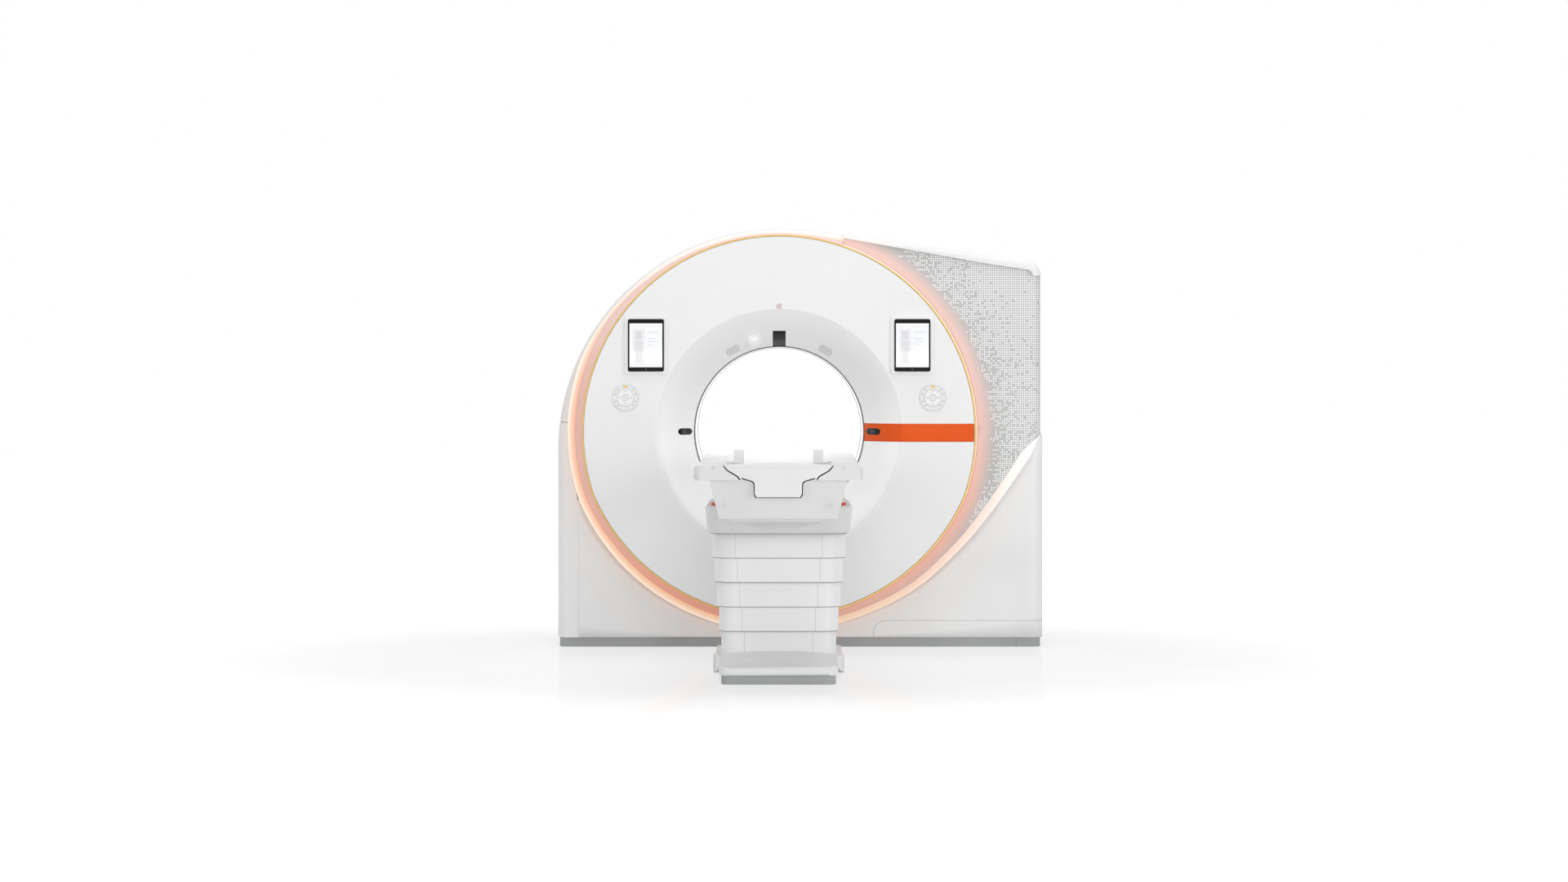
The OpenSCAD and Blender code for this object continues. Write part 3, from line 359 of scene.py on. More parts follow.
def cap_radius(t, n):
    """Radius of the housing's outline, n inside it."""
    best = reach(arc_x, arc_z - iso_z, house_r - n, t)
    facing = cos(t - roof_a)
    if facing > 0.05:
        r = (house_r - n - along_roof(0, iso_z)[1]) / facing
        if along_roof(*at(t, r))[0] > 0:
            best = max(best, r)
    return best


def ring_radius(t, o):
    return min(disc_radius(t, o), cap_radius(t, 16 + (band_w + bevel_w - o) / 2))


def at(t, r):
    return r * cos(t), iso_z + r * sin(t)


def ring_at(y, radius):
    """A ring of points about the bore's axis; radius is a function of the angle."""
    return [(x, y, z) for x, z in (at(t, radius(t)) for t in turn)]


def disc_ring(o, y):
    return ring_at(y, lambda t: disc_radius(t, o))


def round_ring(r, y):
    return ring_at(y, lambda t: r)


def shell_y(depth, r):
    """Y of a cover's surface, depth inside its outline, with a front edge of radius r."""
    return front_y if depth >= r else front_y + r - sqrt(max(r * r - (r - depth) ** 2, 0))


print("disc reaches down to z", round(iso_z - disc_radius(-pi / 2)))

# %% [markdown]
# ## The front disc
# One large moulding: a flat face, a rolled outer edge, and a funnel into the bore. Turning a profile
# would make it round all over, so it is a loft: each ring of points is the outline at one step of the
# profile, and past the crease the rings change from a circle to the two-arc shape.

# %% Front disc
def funnel(steps):
    """(radius, y) along the funnel, from crease to rim."""
    p0, p1, p2 = (crease_r, disc_y), (bore_r + 80, disc_y + 58), (bore_r, rim_y)
    return [tuple((1 - t) ** 2 * a + 2 * t * (1 - t) * b + t * t * c for a, b, c in zip(p0, p1, p2))
        for t in spread(0, 1, steps)]


funnel_line = funnel(60)


def funnel_y(r):
    if r >= crease_r:
        return disc_y
    for (ra, ya), (rb, yb) in zip(funnel_line, funnel_line[1:]):
        if rb <= r <= ra:
            return ya + (yb - ya) * (ra - r) / max(ra - rb, 1e-9)
    return rim_y


disc_back, roll_r = -269, 2.2
rings = [disc_ring(-8, disc_back), disc_ring(-8, disc_y + 15), disc_ring(-7, disc_y + 14),
    disc_ring(-7, disc_y + roll_r)]
rings += [disc_ring(-7 - roll_r * (1 - cos(a)), disc_y + roll_r * (1 - sin(a))) for a in (0.4, 0.8, 1.2, 1.57)]
for f in (0.02, 0.1, 0.25, 0.45, 0.65, 0.82, 0.93, 1.0):
    rings.append(ring_at(disc_y, lambda t: (1 - f) * disc_radius(t, -9.2) + f * (crease_r + 9)))
rings += [round_ring(crease_r + 1.5, disc_y), round_ring(crease_r - 1.5, disc_y + 1.2)]
rings += [round_ring(r, y) for r, y in funnel(18)[1:]]
rings += [round_ring(bore_r + 1.5, rim_y + 3), round_ring(bore_r + 10, rim_y + 5)]
rings += [round_ring(r + 2, y + 16) for r, y in reversed(funnel(8)[:-1])]
rings += [disc_ring(-24, disc_y + 15), disc_ring(-20, disc_back)]
front_disc = add_piece("front_disc_moulding", *loft(rings, looped=True), front_paint, "front_white",
    node="front_disc", sharp=13)
print("front disc:", len(front_disc.data.polygons), "faces")

# %% [markdown]
# ## Trim and light ring
# Around the disc runs a thin gilt line, then a recessed salmon floor and a bright bevel, all lit from
# behind. A torus is round and the outline isn't, so they are lofted. The real diffuser is one part.
# Here it is three: floor and bevel on the left and the narrow floor beside the panel, as the floor is
# darker where it lies deeper. Each is swept between two upright planes, where covers cross the ring.

# %% Trim ring
# Painted light: the gilt line glows a little, as if lit by the ring.
gilt_paint = Paint("gilt_trim", 0.28, coat=0.4)
gilt_paint.set(Base_Color=gilt_paint.cloud(40).mix((226, 178, 48), (240, 200, 76)),
    Emission_Color=(240, 186, 44), Emission_Strength=0.10)
gilt_paint.bump(gilt_paint.noise(600), 0.03)
amber_line_paint = sprayed("amber_line", (240, 206, 126), (230, 194, 112), 0.4)
shade_line_paint = sprayed("shade_line", (214, 208, 198), (206, 200, 190), 0.4)
for name, o0, o1, y0, paint, node in (("trim_gilt", -4.6, -0.4, -1.5, gilt_paint, "trim_ring"),
        ("trim_inner_line", -6.6, -4.9, -0.6, shade_line_paint, None),
        ("trim_outer_line", -0.2, 1.4, 3, amber_line_paint, None)):
    y0, y1 = disc_y + y0, disc_y + 13
    profile = [(o0, y0 + 0.6), (o0 + 0.8, y0), (o1 - 0.8, y0), (o1, y0 + 0.6), (o1, y1), (o0, y1)]
    add_piece(name, *loft([disc_ring(o, y) for o, y in profile], looped=True), paint, "trim_gold",
        node=node, sharp=50)
print("trim made")


# %% Diffuser of the light ring
def lit(name, low, middle, high, strength, outer=None):
    """The ring is warm below and nearly white on top."""
    paint = Paint(name, 0.5)
    x, y, z = paint.place()
    colour = z.ramp(0.15, 1.0, smooth=True).mix(low, middle)
    colour = z.ramp(1.1, 1.85, smooth=True).mix(colour, high)
    if outer:
        colour = ring_distance(x, z).ramp(0.046, 0.072, 0.0, 0.85, True).mix(colour, outer)
    colour = paint.cloud(6, 0.0, 0.06).mix(colour, (255, 236, 222))
    paint.set(Base_Color=colour, Emission_Color=colour, Emission_Strength=strength)
    paint.bump(paint.noise(300), 0.04)
    return paint


floor_light = lit("light_floor", (224, 160, 138), (216, 178, 166), (232, 208, 202), 0.22)
bevel_light = lit("light_bevel", (252, 210, 172), (248, 198, 170), (246, 226, 218), 0.32, (255, 234, 216))
side_light = lit("light_side", (250, 206, 176), (250, 218, 200), (250, 224, 214), 0.60)


def ring_point(t, o, y):
    """A point at offset o from the disc, never in front of the housing's edge."""
    x, z = at(t, ring_radius(t, o))
    s, n = along_roof(x, z)
    depth = house_r - (n if s > 0 else hypot(x - arc_x, z - arc_z))
    return x, max(y, shell_y(depth, roof_edge_r if s > roof_seam else edge_r) + 0.3), z


def angle_where(o, x, upper_side):
    """Angle at which the ring's line at offset o crosses x."""
    start = 0.0 if upper_side else -pi
    return halve(start, start + pi, lambda t: (ring_radius(t, o) * cos(t) > x) == upper_side)


def swept(profile, x_top, x_low, left_side, steps):
    """A profile of (offset, y) swept between two upright planes."""
    columns = []
    for o, y in profile:
        a, b = angle_where(o, x_top, True), angle_where(o, x_low, False)
        columns.append([ring_point(t, o, y) for t in spread(a, b + 2 * pi if left_side else b, steps)])
    return loft(list(zip(*columns)), caps=True)


floor_y = front_y + band_depth
ring_top_x, ring_low_x, inner_o = seam_x + 2, rise_x0 - seam, -7.6
floor_line = [(inner_o, floor_y + ring_t), (inner_o, floor_y), (band_w * 0.3, floor_y), (band_w * 0.7, floor_y),
    (band_w - 1.5, floor_y - 0.3), (band_w + 0.5, floor_y - 2), (band_w + 2, floor_y + 3),
    (band_w, floor_y + ring_t)]
side_line = [(inner_o, floor_y + ring_t), (inner_o, floor_y), (band_side - 1.5, floor_y),
    (band_side, floor_y + 1.5), (band_side, floor_y + ring_t)]
bevel_line = [(band_w + 0.2, floor_y - 1.5)]
for f in (0.15, 0.35, 0.6, 0.8, 0.92, 1.0):
    bevel_line.append((band_w + bevel_w * f, floor_y - 1.5 - (band_depth - 1.5) * sin(f * pi / 2) ** 1.2))
bevel_line += [(band_w + bevel_w + 3.5, front_y), (band_w + bevel_w + 4, front_y + 5),
    (band_w + 6, floor_y + ring_t)]
add_piece("light_ring_floor", *swept(floor_line, ring_top_x, ring_low_x, True, 300), floor_light,
    "light_peach", node="light_ring")
add_piece("light_ring_side", *swept(side_line, ring_top_x + 1, ring_low_x + 1, False, 200), side_light,
    "light_peach")
add_piece("light_ring_bevel", *swept(bevel_line, ring_top_x, ring_low_x, True, 300), bevel_light, "light_peach")
print("light ring runs from x", round(ring_top_x), "above to x", round(ring_low_x), "below")

# %% [markdown]
# ## Cover shells
# The left and upper covers are one wall swept around the housing: a front lip, a soft edge and a flat
# side. A bevelled curve would keep one lip all the way, but the real lip ends at the ring. So each ring
# of the loft is the wall's section at one station, and its lip is found by walking inward until the
# ring is met.

# %% Sections of the swept wall
def lip_width(x, z, nx, nz, most):
    def short_of_ring(s):
        px, pz = x - s * nx, z - s * nz - iso_z
        return hypot(px, pz) > ring_radius(atan2(pz, px), open_o)

    met = next((s for s in range(12, ceil(most), 2) if not short_of_ring(s)), None)
    return most if met is None else halve(met - 2, met, short_of_ring, 12)


def wall_section(station, w, r):
    """The wall's section at a station, with a lip of width w."""
    x, z, nx, nz = station
    flat = max(w - r, 0)
    start = asin((r - w) / r) if w < r else 0.0
    path = []
    for s in spread(0, flat + (pi / 2 - start) * r, 14):
        a = start + (s - flat) / r
        path.append((s - w, front_y) if s < flat else (r * sin(a) - r, front_y + r - r * cos(a)))
    path += [(0, skin_rear - 5), (-1.5, skin_rear - 1.5), (-5, skin_rear), (-cover_t, skin_rear),
        (-cover_t, front_y + r + 1), (-max(w, cover_t + 1.5), path[0][1] + cover_t),
        (path[0][0], path[0][1] + 1.5)]
    return [(x + n * nx, y, z + n * nz) for n, y in path]


def cover_shell(name, stations, lip, r, node):
    rings = [wall_section(s, lip(s), r) for s in stations]
    return add_piece(name, *loft(rings, caps=True), cover_paint, "cover_white", node=node)


def arc_station(a):
    return arc_x + house_r * cos(a), arc_z + house_r * sin(a), cos(a), sin(a)


def roof_station(s):
    x, z, nx, nz = arc_station(roof_a)
    return x + s * sin(roof_a), z - s * cos(roof_a), nx, nz


def roof_lip(x):
    """Narrow beside the ring, wider to the right."""
    return 20 + 21 * min((x - seam_x) / (1010 - seam_x), 1)


# %% Left, upper and roof covers
lip_most, gap_a = 102, 2.4 / house_r
stations = [(arc_x - house_r, plinth_z + (arc_z - plinth_z) * f, -1, 0)
    for f in (0, 0.004, 0.2, 0.4, 0.6, 0.72, 0.78, 0.8, 0.82, 0.85, 0.9, 0.95)]
stations += [arc_station(a) for a in spread(pi, pi - left_seam_a, 5)]
left = cover_shell("left_cover_shell", stations, lambda s: lip_width(*s, lip_most - seam), edge_r, "left_cover")
stations = [arc_station(a) for a in spread(pi - left_seam_a - gap_a, roof_a, 96)]
stations += [roof_station(s) for s in (10, 40, 75, 110, roof_seam)]
upper = cover_shell("upper_cover_shell", stations, lambda s: lip_width(*s, lip_most), edge_r, "upper_shell")
stations = [roof_station(s) for s in spread(roof_seam + seam, roof_len, 40)]
stations += [(right_c_x + corner_r * cos(a), right_c_z + corner_r * sin(a), cos(a), sin(a))
    for a in spread(roof_a, 0, 14)[1:]]
roof = cover_shell("roof_cover_shell", stations, lambda s: roof_lip(s[0]), roof_edge_r, "roof_cover")
print("cover shells:", [len(o.data.polygons) for o in (left, upper, roof)])

# %% [markdown]
# ## The grey panel
# Right of the ring a grey panel turns round the corner. It carries small white squares, denser to the
# right. They could be thousands of faces; as a paint they cost nothing: the place is cut into cells,
# and each cell draws its lot from white noise. The panel is a sheet of columns between ring, roof and
# the lower cover's rising edge, and a modifier gives it its wall.

# %% Curves that bound the panel
def ring_z(x, o):
    return iso_z + low_dz - sqrt((low_r + o) ** 2 - x * x)


rise_points = [(rise_x0, ring_z(rise_x0, band_w)), (293, ring_z(293, band_w)), (403, ring_z(403, band_w + 3.5)),
    (544, ring_z(544, band_w + 11.7)), (685, 339), (840, 486), (933, 594), (1027, 720),
    (1120, 856), (1195, 963), (1279, 1034)]


def rise(x):
    """Height of the rising edge: a smooth curve through rise_points."""
    p = rise_points
    if x <= p[0][0]:
        return p[0][1] + (x - p[0][0]) * 0.3
    if x > p[-1][0]:
        return p[-1][1]
    i = next(i for i in range(len(p) - 1) if x <= p[i + 1][0])
    a, b, c, d = p[max(i - 1, 0)], p[i], p[i + 1], p[min(i + 2, len(p) - 1)]

    def curve(t, k):
        return 0.5 * (2 * b[k] + (c[k] - a[k]) * t + (2 * a[k] - 5 * b[k] + 4 * c[k] - d[k]) * t * t
            + (3 * b[k] - a[k] - 3 * c[k] + d[k]) * t ** 3)

    return curve(halve(0.0, 1.0, lambda t: curve(t, 0) < x, 30), 1)


def roof_z(x, n):
    if x > right_c_x:
        return right_c_z + sqrt(max((corner_r - n) ** 2 - (x - right_c_x) ** 2, 0))
    return arc_z + (house_r - n - (x - arc_x) * cos(roof_a)) / sin(roof_a)


def ring_side(x, upper_side, o=open_o):
    """Height where the ring's outline crosses x."""
    t = angle_where(o, x, upper_side)
    return iso_z + ring_radius(t, o) * sin(t)


def turned(u, z, flat, r, y0, back=0.0):
    """A front that turns round the right corner: past flat, u is length along the turn."""
    if u <= flat:
        return u, y0 + back, z
    a, extra = min((u - flat) / r, pi / 2), max(u - flat - r * pi / 2, 0)
    return flat + (r - back) * sin(a), y0 + r - (r - back) * cos(a) + extra, z


# %% Paint of the panel: dots and the ring's glow
panel_paint = Paint("panel_grey_paint", 0.38)
x, y, z = panel_paint.place()
d = ring_distance(x, z)
pitch, square = 0.0108, 0.0066
px, pz = x / pitch, z / pitch
row, column = pz.floor(), px.floor()


def chance(a, b, seed):
    """A fixed number from 0 to 1 for each cell."""
    cell = panel_paint.add("CombineXYZ", {0: a, 1: b, 2: seed})
    return panel_paint.add("TexWhiteNoise", {"Vector": cell}, "Value", noise_dimensions="3D")


edge = chance(row, 0.0, 4.0).ramp(0, 1, -0.030, 0.030) + panel_paint.cloud(5.0, -0.035, 0.035, detail=1.0) + d
share = edge.ramp(0.065, 0.13, 0.0, 0.74, True) + edge.ramp(0.13, 0.36, 0.0, 0.25)
shown = (chance(row, column, 1.0) < share) * (d > 0.078) * (y < (panel_y + 30) / 1000)
dots = (px.fract() < square / pitch) * (pz.fract() < square / pitch) * shown
# Painted light: beside the ring the grey turns warm and glows, where the ring's light falls on it.
glow_near = d.ramp(0.010, 0.115, 1.0, 0.0, True) * y.ramp(-0.27, -0.24, 1, 0)
warm = z.ramp(0.3, 1.5, smooth=True).mix((232, 176, 158), (238, 200, 190))
ground = glow_near.mix(panel_paint.cloud(3).mix(190, 197), warm)
panel_paint.set(Base_Color=dots.mix(ground, 252), Roughness=panel_paint.cloud(14, 0.35, 0.45),
    Emission_Color=warm, Emission_Strength=glow_near * 0.16)
panel_paint.bump(panel_paint.noise(900), 0.04, 0.0004)
print("dots of", round(square * 1000, 1), "mm, one each", round(pitch * 1000, 1), "mm")

# %% Grey panel
panel_turn, panel_top = 50, 14.4
panel_flat = house_right - panel_turn
side_o = band_side + 0.7
r_max, x_a = disc_r + side_o, 380.0
columns = [r_max * cos(a) for a in spread(acos(x_a / r_max), 0, 70)]
columns += spread(r_max, panel_flat, 12)[1:] + spread(panel_flat, panel_flat + panel_turn * pi / 2, 12)[1:]
columns.append(columns[-1] + 7)


def panel_point(u, z=0.0):
    return turned(u, z, panel_flat, panel_turn, panel_y)


def sheet(columns, low, high, rows):
    return loft([[panel_point(u, z) for z in spread(low(u), high(u), rows)] for u in columns], closed=False)


def ring_edge(u, upper_side):
    return ring_side(u, upper_side, side_o) if u < r_max - 1e-6 else iso_z


up = sheet(spread(seam_x + 2.3, x_a, 10)[:-1] + columns, lambda u: ring_edge(u, True),
    lambda u: roof_z(panel_point(u)[0], panel_top), 24)
down = sheet(spread(rise_x0 + seam, x_a, 16)[:-1] + columns,
    lambda u: min(rise(panel_point(u)[0]) - 6, iso_z - 1), lambda u: ring_edge(u, False), 16)
panel = add_piece("grey_front_panel", *merged([up, down]), panel_paint, "panel_grey",
    node="front_panel", sharp=40)
walled(panel, 0.010)
print("grey panel:", len(panel.data.polygons), "faces")

# %% [markdown]
# ## Lower cover
# A white cover closes the front under the ring and rises to the right in a long curve, with a wide
# bevel down to the panel. A boolean cut would leave ragged faces, so it is made as columns that end on
# the curve. The bevel is a strip of its own that follows the swollen edge. The arched flap is only a
# fine groove, so it is a narrow dark band in the surface.

# %% Lower front cover
bevel_x, bevel_z, bevel_grow, low_t = 357, 493, 1.099, panel_y - 0.5 - front_y
low_turn = 65
low_flat = low_right - low_turn
turn_end = low_flat + low_turn * pi / 2


def edge_z(x, k):
    """Height of the rising edge when it is swollen by k."""
    return bevel_z + (rise(bevel_x + (x - bevel_x) / k) - bevel_z) * k


def swell(y):
    """The swelling at a depth: most at the front, none at the panel."""
    return 1 + (bevel_grow - 1) * max(1 - (y - front_y) / low_t, 0)


def low_point(u, z=0.0, back=0.0):
    return turned(u, z, low_flat, low_turn, front_y, back)


left_x, base = arc_x - house_r + lip_most - seam + 0.1, plinth_z + 0.3
columns = [(x, ring_side(x, False)) for x in spread(left_x, rise_x0 - 0.1, 110)]
for u in spread(rise_x0, low_flat, 100) + spread(low_flat, turn_end, 20)[1:] + [turn_end + 16]:
    x, y, z = low_point(u)
    columns.append((u, min(edge_z(x, swell(y)), rise_points[-1][1])))
rings = [[low_point(u, z) for z in spread(base, top, 10)] for u, top in columns]
low_cover = add_piece("lower_front_cover_shell", *loft(rings, closed=False), cover_paint, "cover_white",
    node="lower_front_cover")
walled(low_cover, 0.010)

# %% Its long bevel
strip = []
x_end = low_flat + sqrt(low_turn ** 2 - (low_turn - low_t) ** 2) - 0.5
for x in spread(rise_x0 + 0.1, x_end + 0.1, 130):
    y0 = shell_y(low_right - x, low_turn)
    strip.append([(x, y0 + (panel_y - 0.5 - y0) * (1 - cos(f * pi / 2)),
        edge_z(x, swell(y0) + (1 - swell(y0)) * f)) for f in spread(0, 1, 9)])
# Painted light: the bevel glows, and towards the bottom, near the ring, it turns warmer.
bevel_glow_paint = Paint("bevel_glow_paint", 0.4)
height = bevel_glow_paint.place()[2]
tone = bevel_glow_paint.cloud(3.0, detail=2.0).mix((248, 240, 238), (250, 244, 242))
tone = height.ramp(0.35, 1.05, 1.0, 0.0, True).mix(tone, (253, 226, 212))
tone = height.ramp(0.12, 0.42, 1.0, 0.0, True).mix(tone, (254, 224, 198))
bevel_glow_paint.set(Base_Color=tone, Emission_Color=tone, Emission_Strength=0.24,
    Roughness=bevel_glow_paint.cloud(12.0, 0.36, 0.45))
bevel_glow_paint.bump(bevel_glow_paint.noise(900, 2.0), 0.04, 0.0004)
add_piece("lower_cover_bevel", *loft(strip, closed=False), bevel_glow_paint, "cover_white", sharp=60)

# %% Groove of the flap
flap_x, flap_z, flap_r, line_w = 458, 127, 56, 2.2
line = [(flap_x, z) for z in spread(base, flap_z - flap_r, 6)[:-1]]
line += arc_pts(flap_x + flap_r, flap_z - flap_r, flap_r, 180, 90, 12)
line += [(u, flap_z) for u in spread(flap_x + flap_r, turn_end + 14, 90)[1:]]
rings = []
for i, (u, z) in enumerate(line):
    (ua, za), (ub, zb) = line[max(i - 1, 0)], line[min(i + 1, len(line) - 1)]
    half = line_w / 2 / hypot(ub - ua, zb - za)
    rings.append([low_point(u - (zb - za) * half * k, z + (ub - ua) * half * k, back)
        for k, back in ((-1, 0.4), (-0.8, -0.15), (0.8, -0.15), (1, 0.4))])
groove_paint = sprayed("groove_shade", 158, 148, 0.6)
add_piece("flap_groove", *loft(rings, caps=True), groove_paint, "cover_white")
print("lower cover:", len(low_cover.data.polygons), "faces, bevel", len(strip), "stations")

# %% [markdown]
# ## Pieces that keep the frame's form
# Many parts are right as they come and only lack what a mould gives: small rounded edges that catch the
# light. They could be lofted again, to the same shape. Instead the frame's mesh is copied, its flats
# are merged and every sharp edge is bevelled by a real radius. Weighted normals keep the large faces
# flat.

# %% Softened copies
owner = {n: name for name, nodes in frame["record"]["behaviour"]["bodies"].items() for n in nodes}


def body_of_node(node):
    return owner.get(node, "gantry")


def softened(node, paint, width, segments=2, angle=28, skip=None):
    mesh = frame["nodes"][node].data.copy()
    mesh.materials.clear()
    bm = bmesh.new()
    bm.from_mesh(mesh)
    bmesh.ops.remove_doubles(bm, verts=bm.verts, dist=5e-6)
    bmesh.ops.dissolve_limit(bm, angle_limit=radians(0.6), verts=bm.verts, edges=bm.edges)
    sharp = [e for e in bm.edges if len(e.link_faces) == 2 and e.calc_face_angle(0) > radians(angle)]
    if skip:
        sharp = [e for e in sharp if not skip((e.verts[0].co + e.verts[1].co) / 2)]
    bmesh.ops.bevel(bm, geom=sharp, offset=width / 1000, segments=segments, profile=0.5,
        affect="EDGES", clamp_overlap=True)
    bm.to_mesh(mesh)
    bm.free()
    piece = as_piece(node + "_soft", mesh, paint, body_of_node(node), node, 46)
    piece.modifiers.new("even shading", "WEIGHTED_NORMAL").keep_sharp = True


# %% [markdown]
# ## Sides, back and plinth
# The right side is two flat panels behind the front covers' corner; the lower one has a slot and a hand
# recess. The back is a plain cover with two fields of cooling slots, the plinth a dark kick strip. The
# frame has all their openings already, so softened copies are enough, with screw caps on top.

# %% Sides, back and plinth
softened("right_upper_cover", side_paint, 1.2)
softened("right_lower_cover", cover_paint, 2.5)
softened("rear_cover", cover_paint, 1.5)
softened("plinth", plinth_paint, 2)
screw_paint = sprayed("screw_caps", 214, 204, 0.4)


def cap_piece(name, centre, axis, r, h, paint, slot="cover_white", body="gantry"):
    """A small round cap that faces along axis."""
    a, c = Vector(axis), Vector(centre)
    u = a.orthogonal().normalized()
    w = a.cross(u)
    rings = [[tuple(c + a * hh + (u * cos(t) + w * sin(t)) * rr) for t in circle(24)]
        for rr, hh in ((r, 0), (r, h * 0.6), (r * 0.86, h), (r * 0.3, h), (0.01, h))]
    return add_piece(name, *loft(rings), paint, slot, body)


for i, z in enumerate((985, 400, 200)):
    cap_piece(f"side_screw_{i}", (low_right - 0.4, -205, z), (1, 0, 0), 5, 1.2, screw_paint)
for i, y in enumerate((-190, 360)):
    cap_piece(f"upper_side_screw_{i}", (house_right - 0.4, y, 1735), (1, 0, 0), 5, 1.2, screw_paint,
        "side_grey")
print("sides and back dressed")

# %% [markdown]
# ## Fittings on the front
# Stripe, laser windows, speakers and camera follow the funnel's curve. A shrinkwrap could press them
# on, but the funnel is a formula already, so each outline point asks for its depth. The stripe is a
# thin film, the windows are glossy black with a paler field for the lens, and the camera dome is a
# milky half ball in a shallow seat.

# %% Stripe and windows on the funnel
stripe_paint = Paint("stripe_orange", level=0.2)
stripe_paint.set(Base_Color=stripe_paint.cloud(5).mix((232, 88, 22), (238, 94, 26)),
    Roughness=stripe_paint.cloud(20, 0.4, 0.5))
stripe_paint.bump(stripe_paint.noise(1200), 0.03, 0.0003)
gloss_black = Paint("gloss_black", level=0.25)
gloss_black.set(Base_Color=gloss_black.cloud(20).mix((14, 14, 16), (24, 24, 26)),
    Roughness=gloss_black.cloud(30, 0.16, 0.24))
lens_dark = sprayed("lens_dark", (66, 66, 68), (46, 46, 48), 0.3, peel=0.01, level=0.3)


def on_funnel(outline, lift):
    """An outline of (x, z) laid on face and funnel."""
    return [(x, funnel_y(hypot(x, z - iso_z)) - lift, z) for x, z in outline]


def capsule(cx, cz, w, h, n=12):
    half, r = (w - h) / 2, h / 2
    straight = spread(half, -half, n)[1:-1]
    return (arc_pts(cx + half, cz, r, -90, 90, n) + [(cx + x, cz + r) for x in straight]
        + arc_pts(cx - half, cz, r, 90, 270, n) + [(cx - x, cz - r) for x in straight])


def box(x0, x1, z0, z1, n=1):
    """A box whose sides are cut into n steps, so that it can bend."""
    corners = [(x0, z0), (x1, z0), (x1, z1), (x0, z1)]
    return [(xa + (xb - xa) * i / n, za + (zb - za) * i / n)
        for (xa, za), (xb, zb) in zip(corners, corners[1:] + corners[:1]) for i in range(n)]


def toward(outline, f):
    """The outline shrunk to the share f."""
    cx, cz = (sum(p[k] for p in outline) / len(outline) for k in (0, 1))
    return [(cx + (x - cx) * f, cz + (z - cz) * f) for x, z in outline]


def pad_on_funnel(name, outline, paint, lift, slot, node=None, rounds=8, sink=4.0):
    rings = [on_funnel(outline, -sink), on_funnel(outline, lift - 0.5)]
    rings += [on_funnel(toward(outline, 0.97 * (1 - k / rounds)), lift) for k in range(rounds)]
    rings.append(on_funnel(toward(outline, 0.002), lift))
    return add_piece(name, *loft(rings), paint, slot, node=node, sharp=40)


stripe_z = spread(iso_z - 47.5, iso_z + 39.5, 12)
radii = spread(bore_r + 0.5, crease_r, 40) + spread(crease_r, disc_r - 8.5, 16)[1:]
rings = [[(sqrt(r * r - (z - iso_z) ** 2), funnel_y(r) - 1.2, z) for z in stripe_z] for r in radii]
stripe = add_piece("accent_stripe_film", *loft(rings, closed=False), stripe_paint, "stripe_orange",
    node="accent_stripe", sharp=60)
walled(stripe, 0.0009)
laser_x = 456
for s, side in sides:
    lift = 1.6 if s > 0 else 0.4
    pad_on_funnel(f"laser_window_{side}", capsule(s * laser_x, iso_z, 67, 32), gloss_black, lift,
        "black_gloss", "laser_windows")
    lens_x = s * laser_x - 4
    pad_on_funnel(f"laser_lens_{side}", box(lens_x - 9, lens_x + 9, iso_z - 11, iso_z + 11), lens_dark,
        lift + 0.4, "black_gloss", rounds=3, sink=1)
pad_on_funnel("camera_window_glass", box(-31.5, 31.5, iso_z + 413, iso_z + 488, 8), gloss_black, 0.4,
    "black_gloss", "camera_window")
pad_on_funnel("camera_lens_field", box(-30, 30, iso_z + 415, iso_z + 447, 8), lens_dark, 0.8,
    "black_gloss", sink=1)
print("stripe of", len(radii), "rings, windows set")

# %% Camera dome, speakers and status ring
dome_paint = sprayed("dome_milk", 250, 244, 0.22, peel=0.01, coat=0.3)
grille_paint = sprayed("grille_paint", 228, 220, 0.45)
hole_paint = sprayed("speaker_hole", (120, 120, 122), (104, 104, 106), 0.6)
dome_a, dome_r, dome_y, seat_r = radians(15.7), 37.6, -303, 43
dome_x, dome_z = -466 * sin(dome_a), iso_z + 466 * cos(dome_a)
profile = [(dome_r, dome_y + 10)]
profile += [(dome_r * cos(a), dome_y - dome_r * sin(a)) for a in spread(0, pi / 2, 18)]
turned_piece("camera_dome_ball", dome_x, dome_z, profile, dome_paint, "dome_white", 40, node="camera_dome")
pad_on_funnel("dome_seat", arc_pts(dome_x, dome_z, seat_r, 0, 360, 48)[:-1], dome_paint, 1.6,
    "dome_white", sink=2)
speaker_a, speaker_r = radians(29.7), 453


def speaker_oval(s, a, b, n=40, cx=0.0, cz=0.0):
    """An oval in the tilted directions of side s's speaker."""
    gx, gz = s * speaker_r * sin(speaker_a), iso_z + speaker_r * cos(speaker_a)
    out = []
    for t in circle(n):
        u, v = cx + a * cos(t), cz + b * sin(t)
        out.append((gx + u * cos(speaker_a) + v * s * sin(speaker_a),
            gz - u * s * sin(speaker_a) + v * cos(speaker_a)))
    return out


